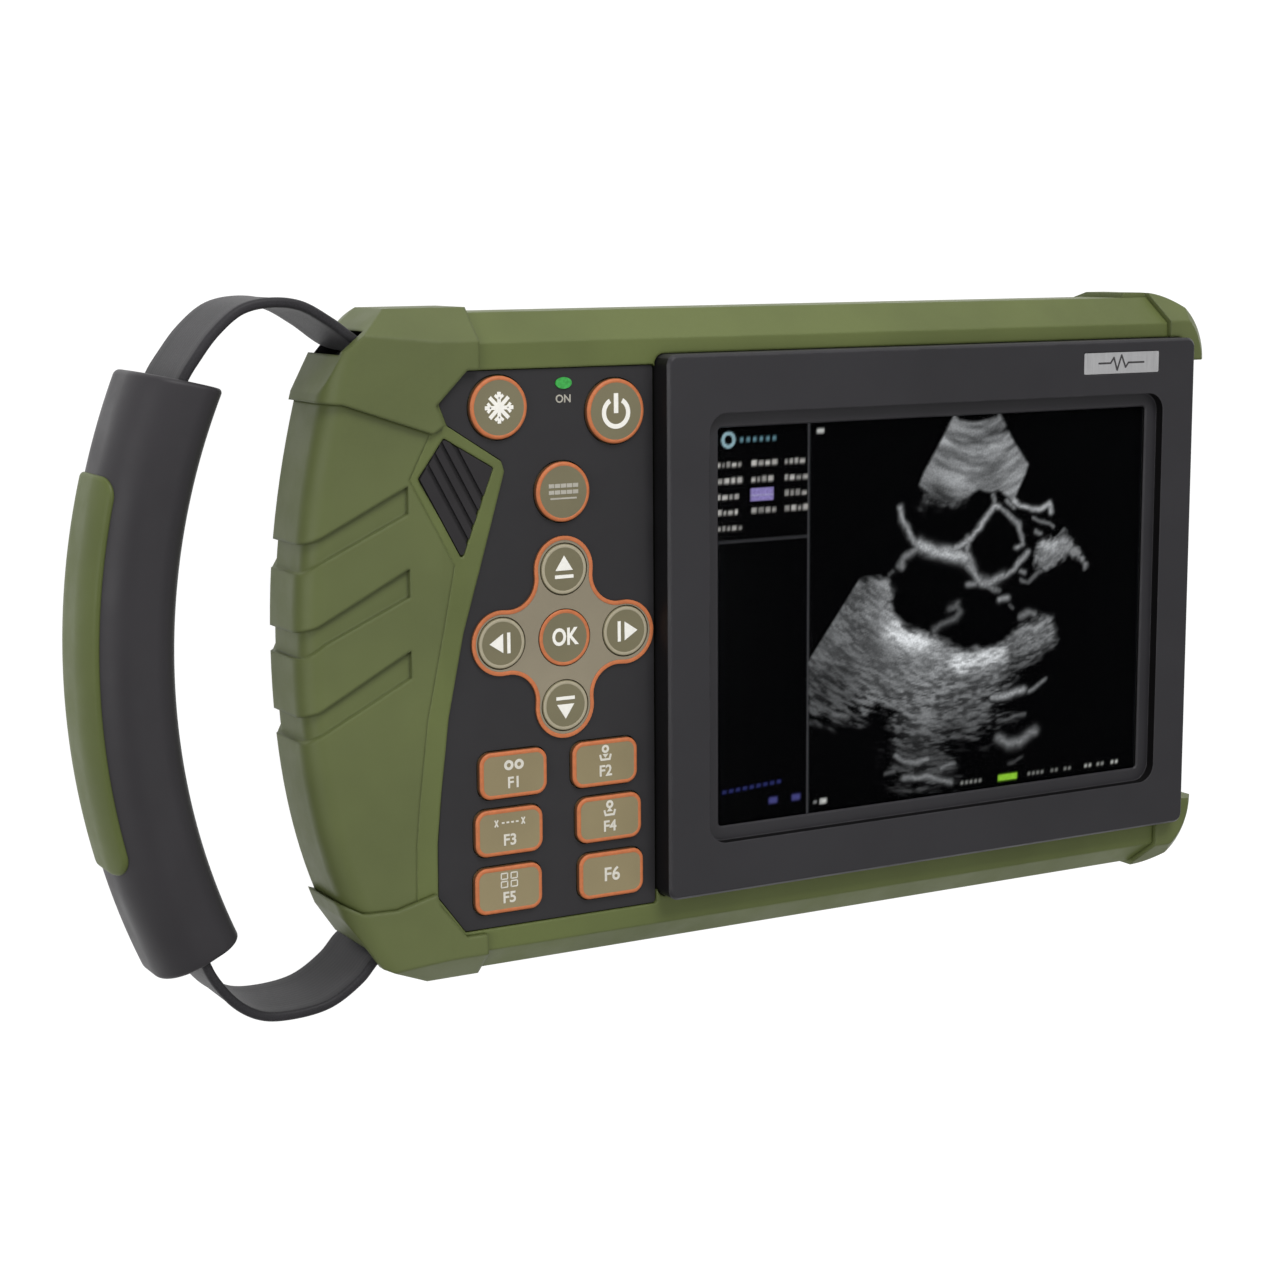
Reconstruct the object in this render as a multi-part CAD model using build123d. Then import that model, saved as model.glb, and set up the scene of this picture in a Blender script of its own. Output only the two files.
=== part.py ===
from build123d import *
import math
import os

os.makedirs("parts", exist_ok=True)

# Handheld veterinary ultrasound scanner, lying on its back.
# +Z comes out of the screen, +X runs right along the face, +Y runs up the face.
# Everything is drawn with x, y measured from the middle of the screen and z from the
# top of the screen bezel, then moved once, at the end, to the row frame (rest plane z = 0,
# origin under the middle of the whole object).

# ---- driving dimensions, mm -------------------------------------------------------
T_TOTAL = 38.0            # bezel top down to the feet
LCD_W, LCD_H = 112.9, 84.7   # 5.6 inch 4:3 active area
BEZEL = (-69.7, 69.3, -55.8, 57.2)
Z_PANEL = -5.5            # keypad panel top
Z_FRONT = -5.0            # green front face
Z_BACK = -36.8            # green back face
Z_SPLIT = -22.0           # seam of the two shells
Z_LEDGE = -6.7            # floor of the front recess
X_RIGHT = 74.0            # right end of the body
Y_TOP, Y_BOT = 66.2, -66.2
WALL = 3.0                # shell wall
SKIN = 1.5                # depth of the overmoulded skins
PROUD = 1.1               # how far the corner bumpers stand out
PROUD_END = 2.3           # extra bulge of the two right-hand bumpers
Z_DRAFT, DRAFT = -24.0, 9.0   # the left side is upright down to here, then tucks in by this much
Z_STEP, Z_LIP = -2.1, -2.6    # floor of the step round the display and underside of its lip
KEY_TRAVEL = 1.0
ARC_C = (-40.7, -0.3)     # centre of the handle's arc
ARC_R = 138.6             # radius of the strap inside the sleeve
SLEEVE_R = (130.0, 147.0)
SLEEVE_Z = (-31.0, -7.0)
PAD_R = 147.8
STRAP_T, STRAP_Z = 2.0, (-29.5, -8.5)
HANDLE_TOP, HANDLE_BOT = 69.9, -70.5   # outer faces of the strap's two loops
SHIFT_X = -(X_RIGHT + PROUD + PROUD_END - (PAD_R - ARC_C[0])) / 2
SHIFT_Y = -(HANDLE_TOP + HANDLE_BOT) / 2
SHIFT = Vector(SHIFT_X, SHIFT_Y, T_TOTAL)


# ---- helpers ----------------------------------------------------------------------
def ccw(pts):
    n = len(pts)
    area = sum(pts[i][0] * pts[(i + 1) % n][1] - pts[(i + 1) % n][0] * pts[i][1] for i in range(n))
    return list(pts) if area > 0 else list(reversed(pts))


def prism(pts, z0, z1):
    pts = ccw(pts)
    return Pos(0, 0, z0) * extrude(Polygon(*pts, align=None), amount=z1 - z0)


def rprism(pts, z0, z1, r):
    sk = Polygon(*ccw(pts), align=None)
    sk = fillet(sk.vertices(), r)
    return Pos(0, 0, z0) * extrude(sk, amount=z1 - z0)


def box(x0, x1, y0, y1, z0, z1):
    return Pos((x0 + x1) / 2, (y0 + y1) / 2, (z0 + z1) / 2) * Box(x1 - x0, y1 - y0, z1 - z0)


def rbox(x0, x1, y0, y1, z0, z1, r):
    sk = RectangleRounded(x1 - x0, y1 - y0, r)
    return Pos((x0 + x1) / 2, (y0 + y1) / 2, z0) * extrude(sk, amount=z1 - z0)


def cyl(x, y, z0, z1, r):
    return Pos(x, y, (z0 + z1) / 2) * Cylinder(r, z1 - z0)


def cyl_x(x0, x1, y, z, r):
    return Pos((x0 + x1) / 2, y, z) * (Rot(0, 90, 0) * Cylinder(r, x1 - x0))


def grow(pts, d):
    """Polygon moved outward by d, by its corners."""
    n = len(pts)
    area = sum(pts[i][0] * pts[(i + 1) % n][1] - pts[(i + 1) % n][0] * pts[i][1] for i in range(n))
    s = 1 if area > 0 else -1
    out = []
    for i in range(n):
        a, b, c = pts[i - 1], pts[i], pts[(i + 1) % n]
        u = (b[0] - a[0], b[1] - a[1]); lu = math.hypot(*u)
        v = (c[0] - b[0], c[1] - b[1]); lv = math.hypot(*v)
        n1 = (s * u[1] / lu, -s * u[0] / lu)
        n2 = (s * v[1] / lv, -s * v[0] / lv)
        k = 1 + n1[0] * n2[0] + n1[1] * n2[1]
        out.append((b[0] + d * (n1[0] + n2[0]) / k, b[1] + d * (n1[1] + n2[1]) / k))
    return out


# ---- outer form of the body ---------------------------------------------------------
def outline(d, s=0.0, dx=0.0, rc=9.0):
    """Plan of the body moved outward by d; s tucks the left side in, dx lengthens the right end."""
    xr, yt, yb = X_RIGHT + d + dx, Y_TOP + d, Y_BOT - d
    tl = [(-127.0 + 0.4 * s, yt), (-136.0 - 0.7 * d + 0.75 * s, 58.6 + 0.7 * d - 0.2 * s), (-139.9 - d + s, 51.2 + 0.2 * d)]
    bl = [(-137.8 - d + s, -51.6 - 0.2 * d), (-131.0 - 0.7 * d + 0.75 * s, -61.6 - 0.7 * d + 0.2 * s), (-121.0 + 0.4 * s, yb)]
    left = Spline(tl[2], (-143.8 - d + s, 34.0), (-146.0 - d + s, 18.0), (-146.7 - d + s, 3.0), (-146.3 - d + s, -12.0),
                  (-144.8 - d + s, -26.0), (-142.2 - d + s, -38.5), bl[0])
    rc = rc + max(d, -3.0)
    q = rc * (1 - math.sqrt(0.5))
    edges = [
        Line((xr - rc, yt), tl[0]), Line(tl[0], tl[1]), Line(tl[1], tl[2]), left,
        Line(bl[0], bl[1]), Line(bl[1], bl[2]), Line(bl[2], (xr - rc, yb)),
        ThreePointArc((xr - rc, yb), (xr - q, yb + q), (xr, yb + rc)),
        Line((xr, yb + rc), (xr, yt - rc)),
        ThreePointArc((xr, yt - rc), (xr - q, yt - q), (xr - rc, yt)),
    ]
    return make_face(edges)


def envelope(d, dx=0.0, rc=9.0):
    """Body form moved outward by d on every face."""
    zt, zb = Z_FRONT + d, Z_BACK - d
    k = d * (math.sqrt(2) - 1)
    tuck = DRAFT * (Z_DRAFT - zb) / (Z_DRAFT - Z_BACK)
    upper = Pos(0, 0, Z_DRAFT) * extrude(outline(d, 0, dx, rc), amount=zt - Z_DRAFT)
    lower = loft([Pos(0, 0, zb) * outline(d, tuck, dx, rc), Pos(0, 0, Z_DRAFT) * outline(d, 0, dx, rc)], ruled=True)
    base = upper + lower
    # side section: the front face falls 3 mm towards the left, the right end is bevelled
    xr = X_RIGHT + dx
    xz = [(-118.0, zt), (xr - 2.0 + k, zt), (xr + d, -7.0 + k), (xr + d, -33.0 - k),
          (xr - 3.8 + k, zb), (-170.0, zb), (-170.0, zt - 52.0 * 3.0 / 29.0)]
    body = base & extrude(Plane.XZ * Polygon(*xz, align=None), amount=150, both=True)
    front = [e for e in body.edges() if e.center().X < -135 and e.length > 80 and e.center().Z > -20]
    body = fillet(front, 5.0 + min(d, 0) * 0.8)
    back = [e for e in body.edges() if e.center().X < -125 and e.length > 80 and e.center().Z < zb + 1]
    body = fillet(back, 6.0)
    # end section: long 45 degree bevels on the front edges, drafted back half
    yz = [(60.4 + k, zt), (Y_TOP + d, -10.8 + k), (Y_TOP + d, -24.0), (62.4 + d, zb),
          (-62.4 - d, zb), (Y_BOT - d, -24.0), (Y_BOT - d, -9.7 + k), (-61.5 - k, zt)]
    body = body & extrude(Plane.YZ * Polygon(*yz, align=None), amount=200, both=True)
    return body


E_SKIN = envelope(-SKIN)
E_OUT = envelope(0.0)
E_BUMP = envelope(PROUD)
R_END = 14.4               # plan radius of the two right-hand bumpers, before their proud layer
E_BUMP_R = envelope(PROUD, PROUD_END, R_END)
# their front edge is bevelled all round the corner
E_BUMP_R = E_BUMP_R & (Pos(0, 0, -60) * extrude(outline(PROUD, 0, PROUD_END, R_END), amount=60 - 6.8)
                       + loft([Pos(0, 0, -6.8) * outline(PROUD, 0, PROUD_END, R_END),
                               Pos(0, 0, Z_FRONT + PROUD) * outline(PROUD - 2.9, 0, PROUD_END, R_END)], ruled=True))
E_GROOVE = envelope(-1.1)
CAVITY = envelope(-WALL)

# plan areas of the corner bumpers and of the grip cover
R_TL = [(-109.6, 85), (-109.6, 55.3), (-112.3, 55.3), (-119.0, 48.6), (-117.2, 44.8), (-119.6, 43.2),
        (-137.4, 49.4), (-165, 51.6), (-165, 85)]
R_BL = [(-109.7, -85), (-109.7, -57.9), (-114.3, -57.9), (-119.9, -50.8), (-120.6, -48.3), (-128.7, -50.7),
        (-135.6, -50.7), (-140.5, -48.2), (-146.0, -42.6), (-165, -38), (-165, -85)]
R_TR = [(65.2, 51.9), (65.2, 60.6), (63.6, 66.3), (63.6, 85), (95, 85), (95, 51.9)]
R_BR = [(64.8, -51.5), (64.8, -61.4), (61.8, -66.3), (61.8, -85), (95, -85), (95, -51.5)]
R_GRIP = [(-119.8, 43.27), (-124.2, 34.4), (-115.2, 17.2), (-118.0, 3.5), (-121.4, -13), (-123.2, -27.6),
          (-124.2, -38.1), (-124.4, -49.4), (-128.7, -50.7), (-135.6, -50.7), (-140.5, -48.2), (-146.0, -42.6),
          (-165, -38), (-165, 51.6), (-137.4, 49.4)]
ZR = (-60.0, 20.0)
P_TL, P_BL, P_TR, P_BR, P_GRIP = [prism(r, *ZR) for r in (R_TL, R_BL, R_TR, R_BR, R_GRIP)]
P_GRIP = P_GRIP - box(-124.3, -90, -60, 60, -60, -20)    # straight edge on the back
P_TR = P_TR + box(56.8, 63.7, 60.0, 85.0, -60.0, -11.3)  # the top right bumper reaches further along the side wall

# strap pockets in the two left corners, open to the outside
POCKET_T = [(-136.4, 58.4), (-131.0, 52.6), (-122.6, 52.6), (-122.6, 60.0), (-127.0, 61.4), (-131.3, 62.6), (-138.2, 67.0), (-141.0, 76.0), (-150.0, 66.0)]
POCKET_B = [(-134.6, -58.2), (-130.5, -52.0), (-122.6, -51.8), (-122.6, -59.6), (-127.0, -63.6), (-134.0, -74.0), (-146.0, -66.0)]
PZ = (-31.5, -8.25)
pockets = [prism(p, *PZ) for p in (POCKET_T, POCKET_B)]
pocket_walls = [prism(grow(p, 1.8), PZ[0] - 1.8, PZ[1] + 1.8) for p in (POCKET_T, POCKET_B)]
PIN_T, PIN_B = (-126.6, 56.6), (-126.9, -56.6)
PIN_Z = (-32.6, -7.8)
strap_pins = [cyl(x, y, *PIN_Z, 2.0) for x, y in (PIN_T, PIN_B)]

# ---- keypad and screen layout --------------------------------------------------------
PANEL = [(-70.2, 55.0), (-111.9, 55.0), (-117.8, 48.8), (-116.2, 44.8), (-104.6, 37.4), (-103.9, 35.2), (-105.7, 29.1), (-109.6, 16.0),
         (-113.4, 3.5), (-116.9, -13.0), (-118.7, -27.6), (-119.7, -38.1), (-119.8, -49.2),
         (-114.0, -57.0), (-70.2, -57.0)]
ROUND = {"freeze_key": (-105.3, 47.8, 6.2), "power_key": (-79.2, 46.1, 6.5), "mode_key": (-91.3, 30.5, 6.0)}
DPAD_C = (-91.2, 1.0)
ARROWS = {"up_key": (-91.2, 14.9), "left_key": (-105.3, 1.0), "right_key": (-77.2, 1.2), "down_key": (-91.2, -12.9)}
R_ARROW, R_OK = 5.15, 5.7
RECT = {"f1_key": (-103.2, -25.7), "f2_key": (-82.3, -25.7), "f3_key": (-104.3, -37.4),
        "f4_key": (-81.4, -37.4), "f5_key": (-104.6, -49.3), "f6_key": (-81.0, -49.3)}
RW, RH, RR = 15.0, 9.5, 2.5
GAP = 0.35
Z_KEYTOP = -4.5
Z_ARROW = -4.8            # the arrow and OK keys are almost flush with their plate
GAP_ARROW = 0.2


KEY_LIMIT = prism(grow(PANEL, -0.75), -20, 0)


def key_round(x, y, r, top, edge=0.5):
    cap = cyl(x, y, -7.6, top, r)
    cap = fillet(cap.edges().filter_by(GeomType.CIRCLE).sort_by(Axis.Z)[-1], edge)
    flange = cyl(x, y, -8.3, -7.3, r + 0.9) & KEY_LIMIT
    return cap + flange


def key_rect(x, y, top):
    cap = rbox(x - RW / 2, x + RW / 2, y - RH / 2, y + RH / 2, -7.6, top, RR)
    cap = fillet(cap.faces().sort_by(Axis.Z)[-1].edges(), 0.45)
    flange = rbox(x - RW / 2 - 0.9, x + RW / 2 + 0.9, y - RH / 2 - 0.9, y + RH / 2 + 0.9, -8.3, -7.3, RR + 0.9)
    return cap + flange


nodes = {}

# keypad panel: charcoal film-faced plate with a hole for every key
panel_holes = [cyl(x, y, -12, 0, r + GAP) for x, y, r in ROUND.values()]
panel_holes += [rbox(x - RW / 2 - GAP, x + RW / 2 + GAP, y - RH / 2 - GAP, y + RH / 2 + GAP, -12, 0, RR + GAP)
                for x, y in RECT.values()]


def dpad_outline(grown):
    """Cross with round lobes, joined by tangent concave waists."""
    cx, cy = DPAD_C
    a, c, lobe, waist = 14.0, 12.34, 6.6 + grown, 5.85 - grown
    sk = Polygon((a, 0), (c, c), (0, a), (-c, c), (-a, 0), (-c, -c), (0, -a), (c, -c), align=None)
    for sx, sy in ((1, 1), (-1, 1), (-1, -1), (1, -1)):
        sk -= Pos(c * sx, c * sy) * Circle(waist)
    for px, py in ((a, 0), (0, a), (-a, 0), (0, -a)):
        sk += Pos(px, py) * Circle(lobe)
    return Pos(cx, cy) * sk


dpad_hole = Pos(0, 0, -12) * extrude(dpad_outline(0.0), amount=12)
led_hole = Pos(-90.6, 52.1, -12) * extrude(Ellipse(1.8, 1.15), amount=12)
panel = rprism(PANEL, Z_LEDGE, Z_PANEL, 0.7)
panel_solid = panel
for h in panel_holes + [dpad_hole, led_hole]:
    panel = panel - h
nodes["keypad_panel"] = panel

dpad = Pos(0, 0, Z_LEDGE) * extrude(dpad_outline(0.0), amount=-5.0 - Z_LEDGE)
dpad = dpad + Pos(0, 0, Z_LEDGE - 0.25) * extrude(dpad_outline(0.5), amount=0.25)
for x, y in ARROWS.values():
    dpad = dpad - cyl(x, y, -12, 0, R_ARROW + GAP_ARROW)
dpad = dpad - cyl(*DPAD_C, -12, 0, R_OK + GAP_ARROW)
nodes["dpad_plate"] = dpad

for name, (x, y, r) in ROUND.items():
    nodes[name] = key_round(x, y, r, Z_KEYTOP)
for name, (x, y) in ARROWS.items():
    nodes[name] = key_round(x, y, R_ARROW, Z_ARROW, 0.25)
nodes["ok_key"] = key_round(*DPAD_C, R_OK, Z_ARROW, 0.25)
for name, (x, y) in RECT.items():
    nodes[name] = key_rect(x, y, Z_KEYTOP)
nodes["led_light_pipe"] = Pos(-90.6, 52.1, -9.2) * extrude(Ellipse(1.8, 1.15), amount=9.2 - 5.2)

# screen bezel with its stepped opening, window, gasket and display
bx0, bx1, by0, by1 = BEZEL
bezel = rbox(bx0, bx1, by0, by1, Z_LEDGE, 0, 2.2)
bezel = chamfer(bezel.faces().sort_by(Axis.Z)[-1].edges(), 0.6)
bezel = bezel - rbox(-59.9, 59.9, -44.9, 45.0, Z_STEP, 1, 4.0)
lip_hole = rbox(-56.6, 56.6, -41.8, 41.9, Z_LIP, 1, 0.8)
lip_wide = Pos(0, 0.05, Z_STEP + 0.05) * RectangleRounded(113.9, 84.4, 1.15)
lip_tight = Pos(0, 0.05, Z_STEP - 0.3) * RectangleRounded(113.2, 83.7, 0.8)
bezel = bezel - lip_hole - loft([lip_tight.faces()[0], lip_wide.faces()[0]])
bezel = bezel - rbox(-59.0, 59.0, -45.6, 45.6, -3.5, Z_LIP, 2.0)
bezel = bezel - box(-63.4, 63.4, -50.2, 50.2, -7.0, -3.5)
badge_cut = rbox(36.8, 58.4, 49.7, 54.6, -0.35, 1, 0.4)
bezel = bezel - badge_cut
nodes["screen_bezel"] = bezel
nodes["badge_plate"] = rbox(36.9, 58.3, 49.8, 54.5, -0.35, 0.0, 0.35)
nodes["display_window"] = rbox(-58.9, 58.9, -45.5, 45.5, -3.3, Z_LIP, 1.9)
nodes["window_gasket"] = rbox(-58.9, 58.9, -45.5, 45.5, -3.5, -3.3, 1.9) - box(-57.0, 57.0, -43.0, 43.0, -4, 0)
nodes["lcd_module"] = box(-63.2, 63.2, -50.0, 50.0, -7.9, -3.5)

# ---- shells and skins -----------------------------------------------------------------
regions = P_TL + P_BL + P_TR + P_BR + P_GRIP
shell = E_OUT - (regions - E_SKIN)
cavity = CAVITY
for w in pocket_walls:
    cavity = cavity - w
shell = shell - cavity
for p in pockets:
    shell = shell - p
for p in strap_pins:
    shell = shell - p

# front recess for the keypad panel and the bezel, and the openings under them
recess = rprism(grow(PANEL, 0.25), Z_LEDGE, 5, 0.7) + rbox(bx0 - 0.3, bx1 + 0.15, by0 - 0.15, by1 + 0.15, Z_LEDGE, 5, 2.2)
shell = shell - recess
key_window = prism(grow(PANEL, -1.7), -9.5, -6.0)
for x, y, r in list(ROUND.values()) + [(x, y, R_ARROW) for x, y in ARROWS.values()]:
    key_window = key_window + cyl(x, y, -9.5, Z_LEDGE - 0.0001, r + 1.3)
key_window = key_window + Pos(0, 0, -9.5) * extrude(dpad_outline(0.9), amount=9.5 + Z_LEDGE - 0.0001)
shell = shell - key_window - box(-63.6, 63.6, -50.4, 50.4, -9.5, -6.0)

# screw bosses
BOSS = [(-75.0, 58.6), (-10.0, 58.6), (50.0, 58.6), (-75.0, -59.0), (-10.0, -59.0), (50.0, -59.0), (-129.0, 34.0), (-129.0, -34.0)]
for x, y in BOSS:
    shell = shell + (cyl(x, y, -34.5, -7.6, 3.6) & E_SKIN)
front = shell & box(-200, 120, -100, 100, Z_SPLIT, 20)
rear = shell & box(-200, 120, -100, 100, -60, Z_SPLIT)
SOCK = (10.0, 44.0, -28.0, -14.0)     # probe socket: y0, y1, z0, z1
FLAP = (-38.0, -12.0, -28.0, -14.0)   # port flap recess: y0, y1, z0, z1
seal = (Pos(0, 0, Z_SPLIT - 0.7) * extrude(outline(-1.9), amount=1.4)) - (Pos(0, 0, -30) * extrude(outline(-2.5), amount=20))
for w in pocket_walls:
    seal = seal - w
seal = seal - box(60, 90, SOCK[0] - 0.5, SOCK[1] + 0.5, -40, 0) - box(60, 90, FLAP[0] - 0.5, FLAP[1] + 0.5, -40, 0)
nodes["shell_seal"] = seal
front = front - seal
rear = rear - seal

screws, inserts = Part(), Part()
for x, y in BOSS:
    front = front - cyl(x, y, Z_SPLIT - 1, -12.0, 2.0)
    rear = rear - cyl(x, y, -40, -20, 1.6) - cyl(x, y, -40, -34.2, 3.1)
    inserts = inserts + (cyl(x, y, Z_SPLIT, -16.0, 2.0) - cyl(x, y, Z_SPLIT - 1, -15, 1.25))
    head = cyl(x, y, -36.2, -34.2, 2.75) - (Pos(x, y, -36.0) * Box(3.6, 0.7, 1.6)) - (Pos(x, y, -36.0) * Box(0.7, 3.6, 1.6))
    screws = screws + head + cyl(x, y, -34.2, -16.6, 1.25)
nodes["shell_screws"] = screws
nodes["threaded_inserts"] = inserts

# rear shell: battery bay, door recess, latch pocket, feet seats
bay = rbox(-55.5, 55.5, -33.5, 33.5, -34.2, -18.5, 2.0) - rbox(-53.5, 53.5, -31.5, 31.5, -32.0, -10, 1.0)
rear = rear + bay
rear = rear - rbox(-49.0, 49.0, -27.0, 27.0, -50, -31, 2.0)
DOOR = (-54.0, 54.0, -32.0, 32.0)
rear = rear - rbox(*DOOR, -50, -34.0, 1.2)
HINGE_Y, HINGE_Z, HINGE_R = -30.3, -35.55, 1.2
rear = rear - cyl_x(-57.5, 57.5, HINGE_Y, HINGE_Z, 0.75)
rear = rear - rbox(-8.4, 8.4, 30.0, 45.6, -50, -34.5, 1.0)
rear = rear - rbox(-3.4, 3.4, 36.0, 43.4, -50, -30, 0.6)
FEET = [(-96.0, 50.0), (42.0, 50.0), (-96.0, -50.0), (42.0, -50.0)]
feet = Part()
for x, y in FEET:
    rear = rear - rbox(x - 10.1, x + 10.1, y - 4.6, y + 4.6, -50, -36.0, 4.5)
    f = rbox(x - 10, x + 10, y - 4.5, y + 4.5, -38.0, -36.0, 4.4)
    f = fillet(f.faces().sort_by(Axis.Z)[0].edges(), 0.6)
    feet = feet + f
nodes["rear_feet"] = feet

door = rbox(DOOR[0] + 0.4, DOOR[1] - 0.4, HINGE_Y, DOOR[3] - 0.4, -36.8, -34.35, 0.9)
door = door - box(-60, 60, -40, HINGE_Y + 2.0, -40, -30)
door = door + box(DOOR[0] + 0.4, DOOR[1] - 0.4, HINGE_Y, HINGE_Y + 2.2, HINGE_Z - HINGE_R, -34.35)
door = door + cyl_x(DOOR[0] + 0.4, DOOR[1] - 0.4, HINGE_Y, HINGE_Z, HINGE_R)
door = door - cyl_x(-70, 70, HINGE_Y, HINGE_Z, 0.8)
door = door - box(-6.2, 6.2, 28.6, 40, -40, -35.5)
for i in range(5):      # finger ribs next to the latch
    door = door - box(-14, 14, 14.0 + 2.4 * i, 15.0 + 2.4 * i, -40, -36.4)
nodes["battery_door"] = door
nodes["door_hinge_pin"] = cyl_x(-57.4, 57.4, HINGE_Y, HINGE_Z, 0.75)
latch = rbox(-8.0, 8.0, 32.6, 41.8, -36.7, -34.85, 0.9) + box(-5.4, 5.4, 29.2, 33.4, -36.7, -35.85)
for i in range(4):
    latch = latch - box(-6, 6, 35.0 + 1.6 * i, 35.7 + 1.6 * i, -40, -36.3)
latch = latch + box(-2.9, 2.9, 36.5, 39.3, -35.5, -33.4) + box(-5.5, 5.5, 35.4, 40.2, -33.45, -32.5)
nodes["battery_latch"] = latch
bat = rbox(-52.5, 52.5, -30.5, 30.5, -31.9, -19.5, 3.0)
bat = fillet(bat.faces().sort_by(Axis.Z)[0].edges() + bat.faces().sort_by(Axis.Z)[-1].edges(), 1.5)
nodes["battery_pack"] = bat

# right end: probe socket, power jack, data port under a hinged flap
sy0, sy1, sz0, sz1 = SOCK
front_rear_cut = box(68, 80, sy0, sy1, sz0, sz1)
front = front - front_rear_cut
rear = rear - front_rear_cut
sock = box(61.5, 71.0, sy0, sy1, sz0, sz1) + box(70.5, 74.0, sy0, sy1, sz0, sz1)
sock = sock - box(63.5, 80, sy0 + 2.2, sy1 - 2.2, sz0 + 2.2, sz1 - 2.2)
sock = chamfer(sock.faces().sort_by(Axis.X)[-1].outer_wire().edges(), 0.5)
pins = Part()
for i in range(12):
    for j in range(3):
        yy = sy0 + 2.2 + 2.4 + i * (sy1 - sy0 - 4.4 - 4.8) / 11
        zz = -21.0 + (j - 1) * 2.8
        pins = pins + Pos(65.2, yy, zz) * (Rot(0, 90, 0) * Cylinder(0.45, 6.0))
sock = sock - pins
nodes["probe_socket"] = sock
nodes["probe_socket_pins"] = pins
fy0, fy1, fz0, fz1 = FLAP
flap_cut = box(71.9, 90, fy0, fy1, fz0, fz1)
jack = box(62.0, 71.9, -21.5, -13.5, -25.0, -17.0)
jack = jack - (Pos(68.0, -17.5, -21.0) * (Rot(0, 90, 0) * Cylinder(3.15, 10)))
jack = jack + (Pos(67.0, -17.5, -21.0) * (Rot(0, 90, 0) * Cylinder(1.05, 9)))
usb = box(63.0, 71.9, -33.0, -24.6, -22.9, -19.1) - box(65.0, 80, -32.5, -25.1, -22.4, -19.6) + box(64.5, 70.5, -31.0, -26.6, -21.3, -20.7)
port_cut = box(68, 90, -21.5, -13.5, -25.0, -17.0) + box(68, 90, -33.0, -24.6, -22.9, -19.1)
FH_X, FH_Y, FH_R = 73.0, -36.6, 0.75
pin_hole = cyl(FH_X, FH_Y, fz0 - 2.0, fz1 + 2.0, 0.45)
front = front - flap_cut - port_cut - pin_hole
rear = rear - flap_cut - port_cut - pin_hole
flap = box(72.5, 73.9, FH_Y + 0.9, fy1 - 0.35, fz0 + 0.35, fz1 - 0.35) + box(FH_X - 0.5, FH_X + 0.5, FH_Y, FH_Y + 1.2, fz0 + 0.35, fz1 - 0.35) + cyl(FH_X, FH_Y, fz0 + 0.35, fz1 - 0.35, FH_R)
flap = flap - cyl(FH_X, FH_Y, fz0 - 3, fz1 + 3, 0.5)
flap = flap + box(73.9, 74.5, fy1 - 3.2, fy1 - 1.6, -23.5, -18.5)
nodes["port_flap"] = flap
nodes["flap_hinge_pin"] = cyl(FH_X, FH_Y, fz0 - 1.9, fz1 + 1.9, 0.45)
nodes["dc_jack"] = jack
nodes["usb_port"] = usb

nodes["front_shell"] = front
nodes["rear_shell"] = rear

# rubber corner bumpers: proud skins that wrap front, side and back
for name, reg in (("bumper_top_left", P_TL), ("bumper_bottom_left", P_BL), ("bumper_top_right", P_TR), ("bumper_bottom_right", P_BR)):
    b = ((E_BUMP_R if name.endswith("right") else E_BUMP) & reg) - E_SKIN - recess
    for p in pockets + strap_pins:
        b = b - p
    nodes[name] = b

# grip cover with three chevron grooves that run round the left side
grip = (E_OUT & P_GRIP) - E_SKIN - recess - rprism(grow([(-117.1, 42.1), (-106.7, 36.0), (-113.6, 18.6), (-122.3, 34.6)], 0.2), -7, 5, 0.5)
for p in pockets + strap_pins:
    grip = grip - p
GROOVES = [(33.3, 27.9, 23.4, 19.4, 22.0, 16.9), (17.2, 11.6, 6.8, 3.3, 5.4, 0.4), (1.1, -4.4, -9.9, -13.9, -11.4, -16.2)]
for yt, yb, ym, yn, ys, yu in GROOVES:
    g = [(-124.5, yt), (-143.3, ym), (-147.0, ys + 0.1), (-175, ys), (-175, yu), (-145.5, yu + 0.1), (-141.6, yn), (-124.5, yb)]
    grip = grip - (prism(g, -60, 20) - E_GROOVE)
for x, y in BOSS:
    grip = grip - cyl(x, y, -60, -30, 3.1)
nodes["grip_cover"] = grip

# ribbed dark inlay
INLAY = [(-117.1, 42.1), (-106.7, 36.0), (-113.6, 18.6), (-122.3, 34.6)]
front_cut = rprism(grow(INLAY, 0.2), -6.6, 5, 0.5)
nodes["front_shell"] = nodes["front_shell"] - front_cut
inlay = rprism(INLAY, -6.6, -4.9, 0.5)
a = Vector(-122.3, 34.6); b = Vector(-113.6, 18.6)
u = (b - a).normalized(); nrm = Vector(-u.Y, u.X)
ang = math.degrees(math.atan2(u.Y, u.X))
for i in range(4):
    c = (a + b) * 0.5 + nrm * (2.6 + 2.3 * i)
    inlay = inlay - (Pos(c.X, c.Y, -5.0) * Rot(0, 0, ang) * Box(40, 0.9, 0.9))
nodes["rib_inlay"] = inlay

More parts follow.
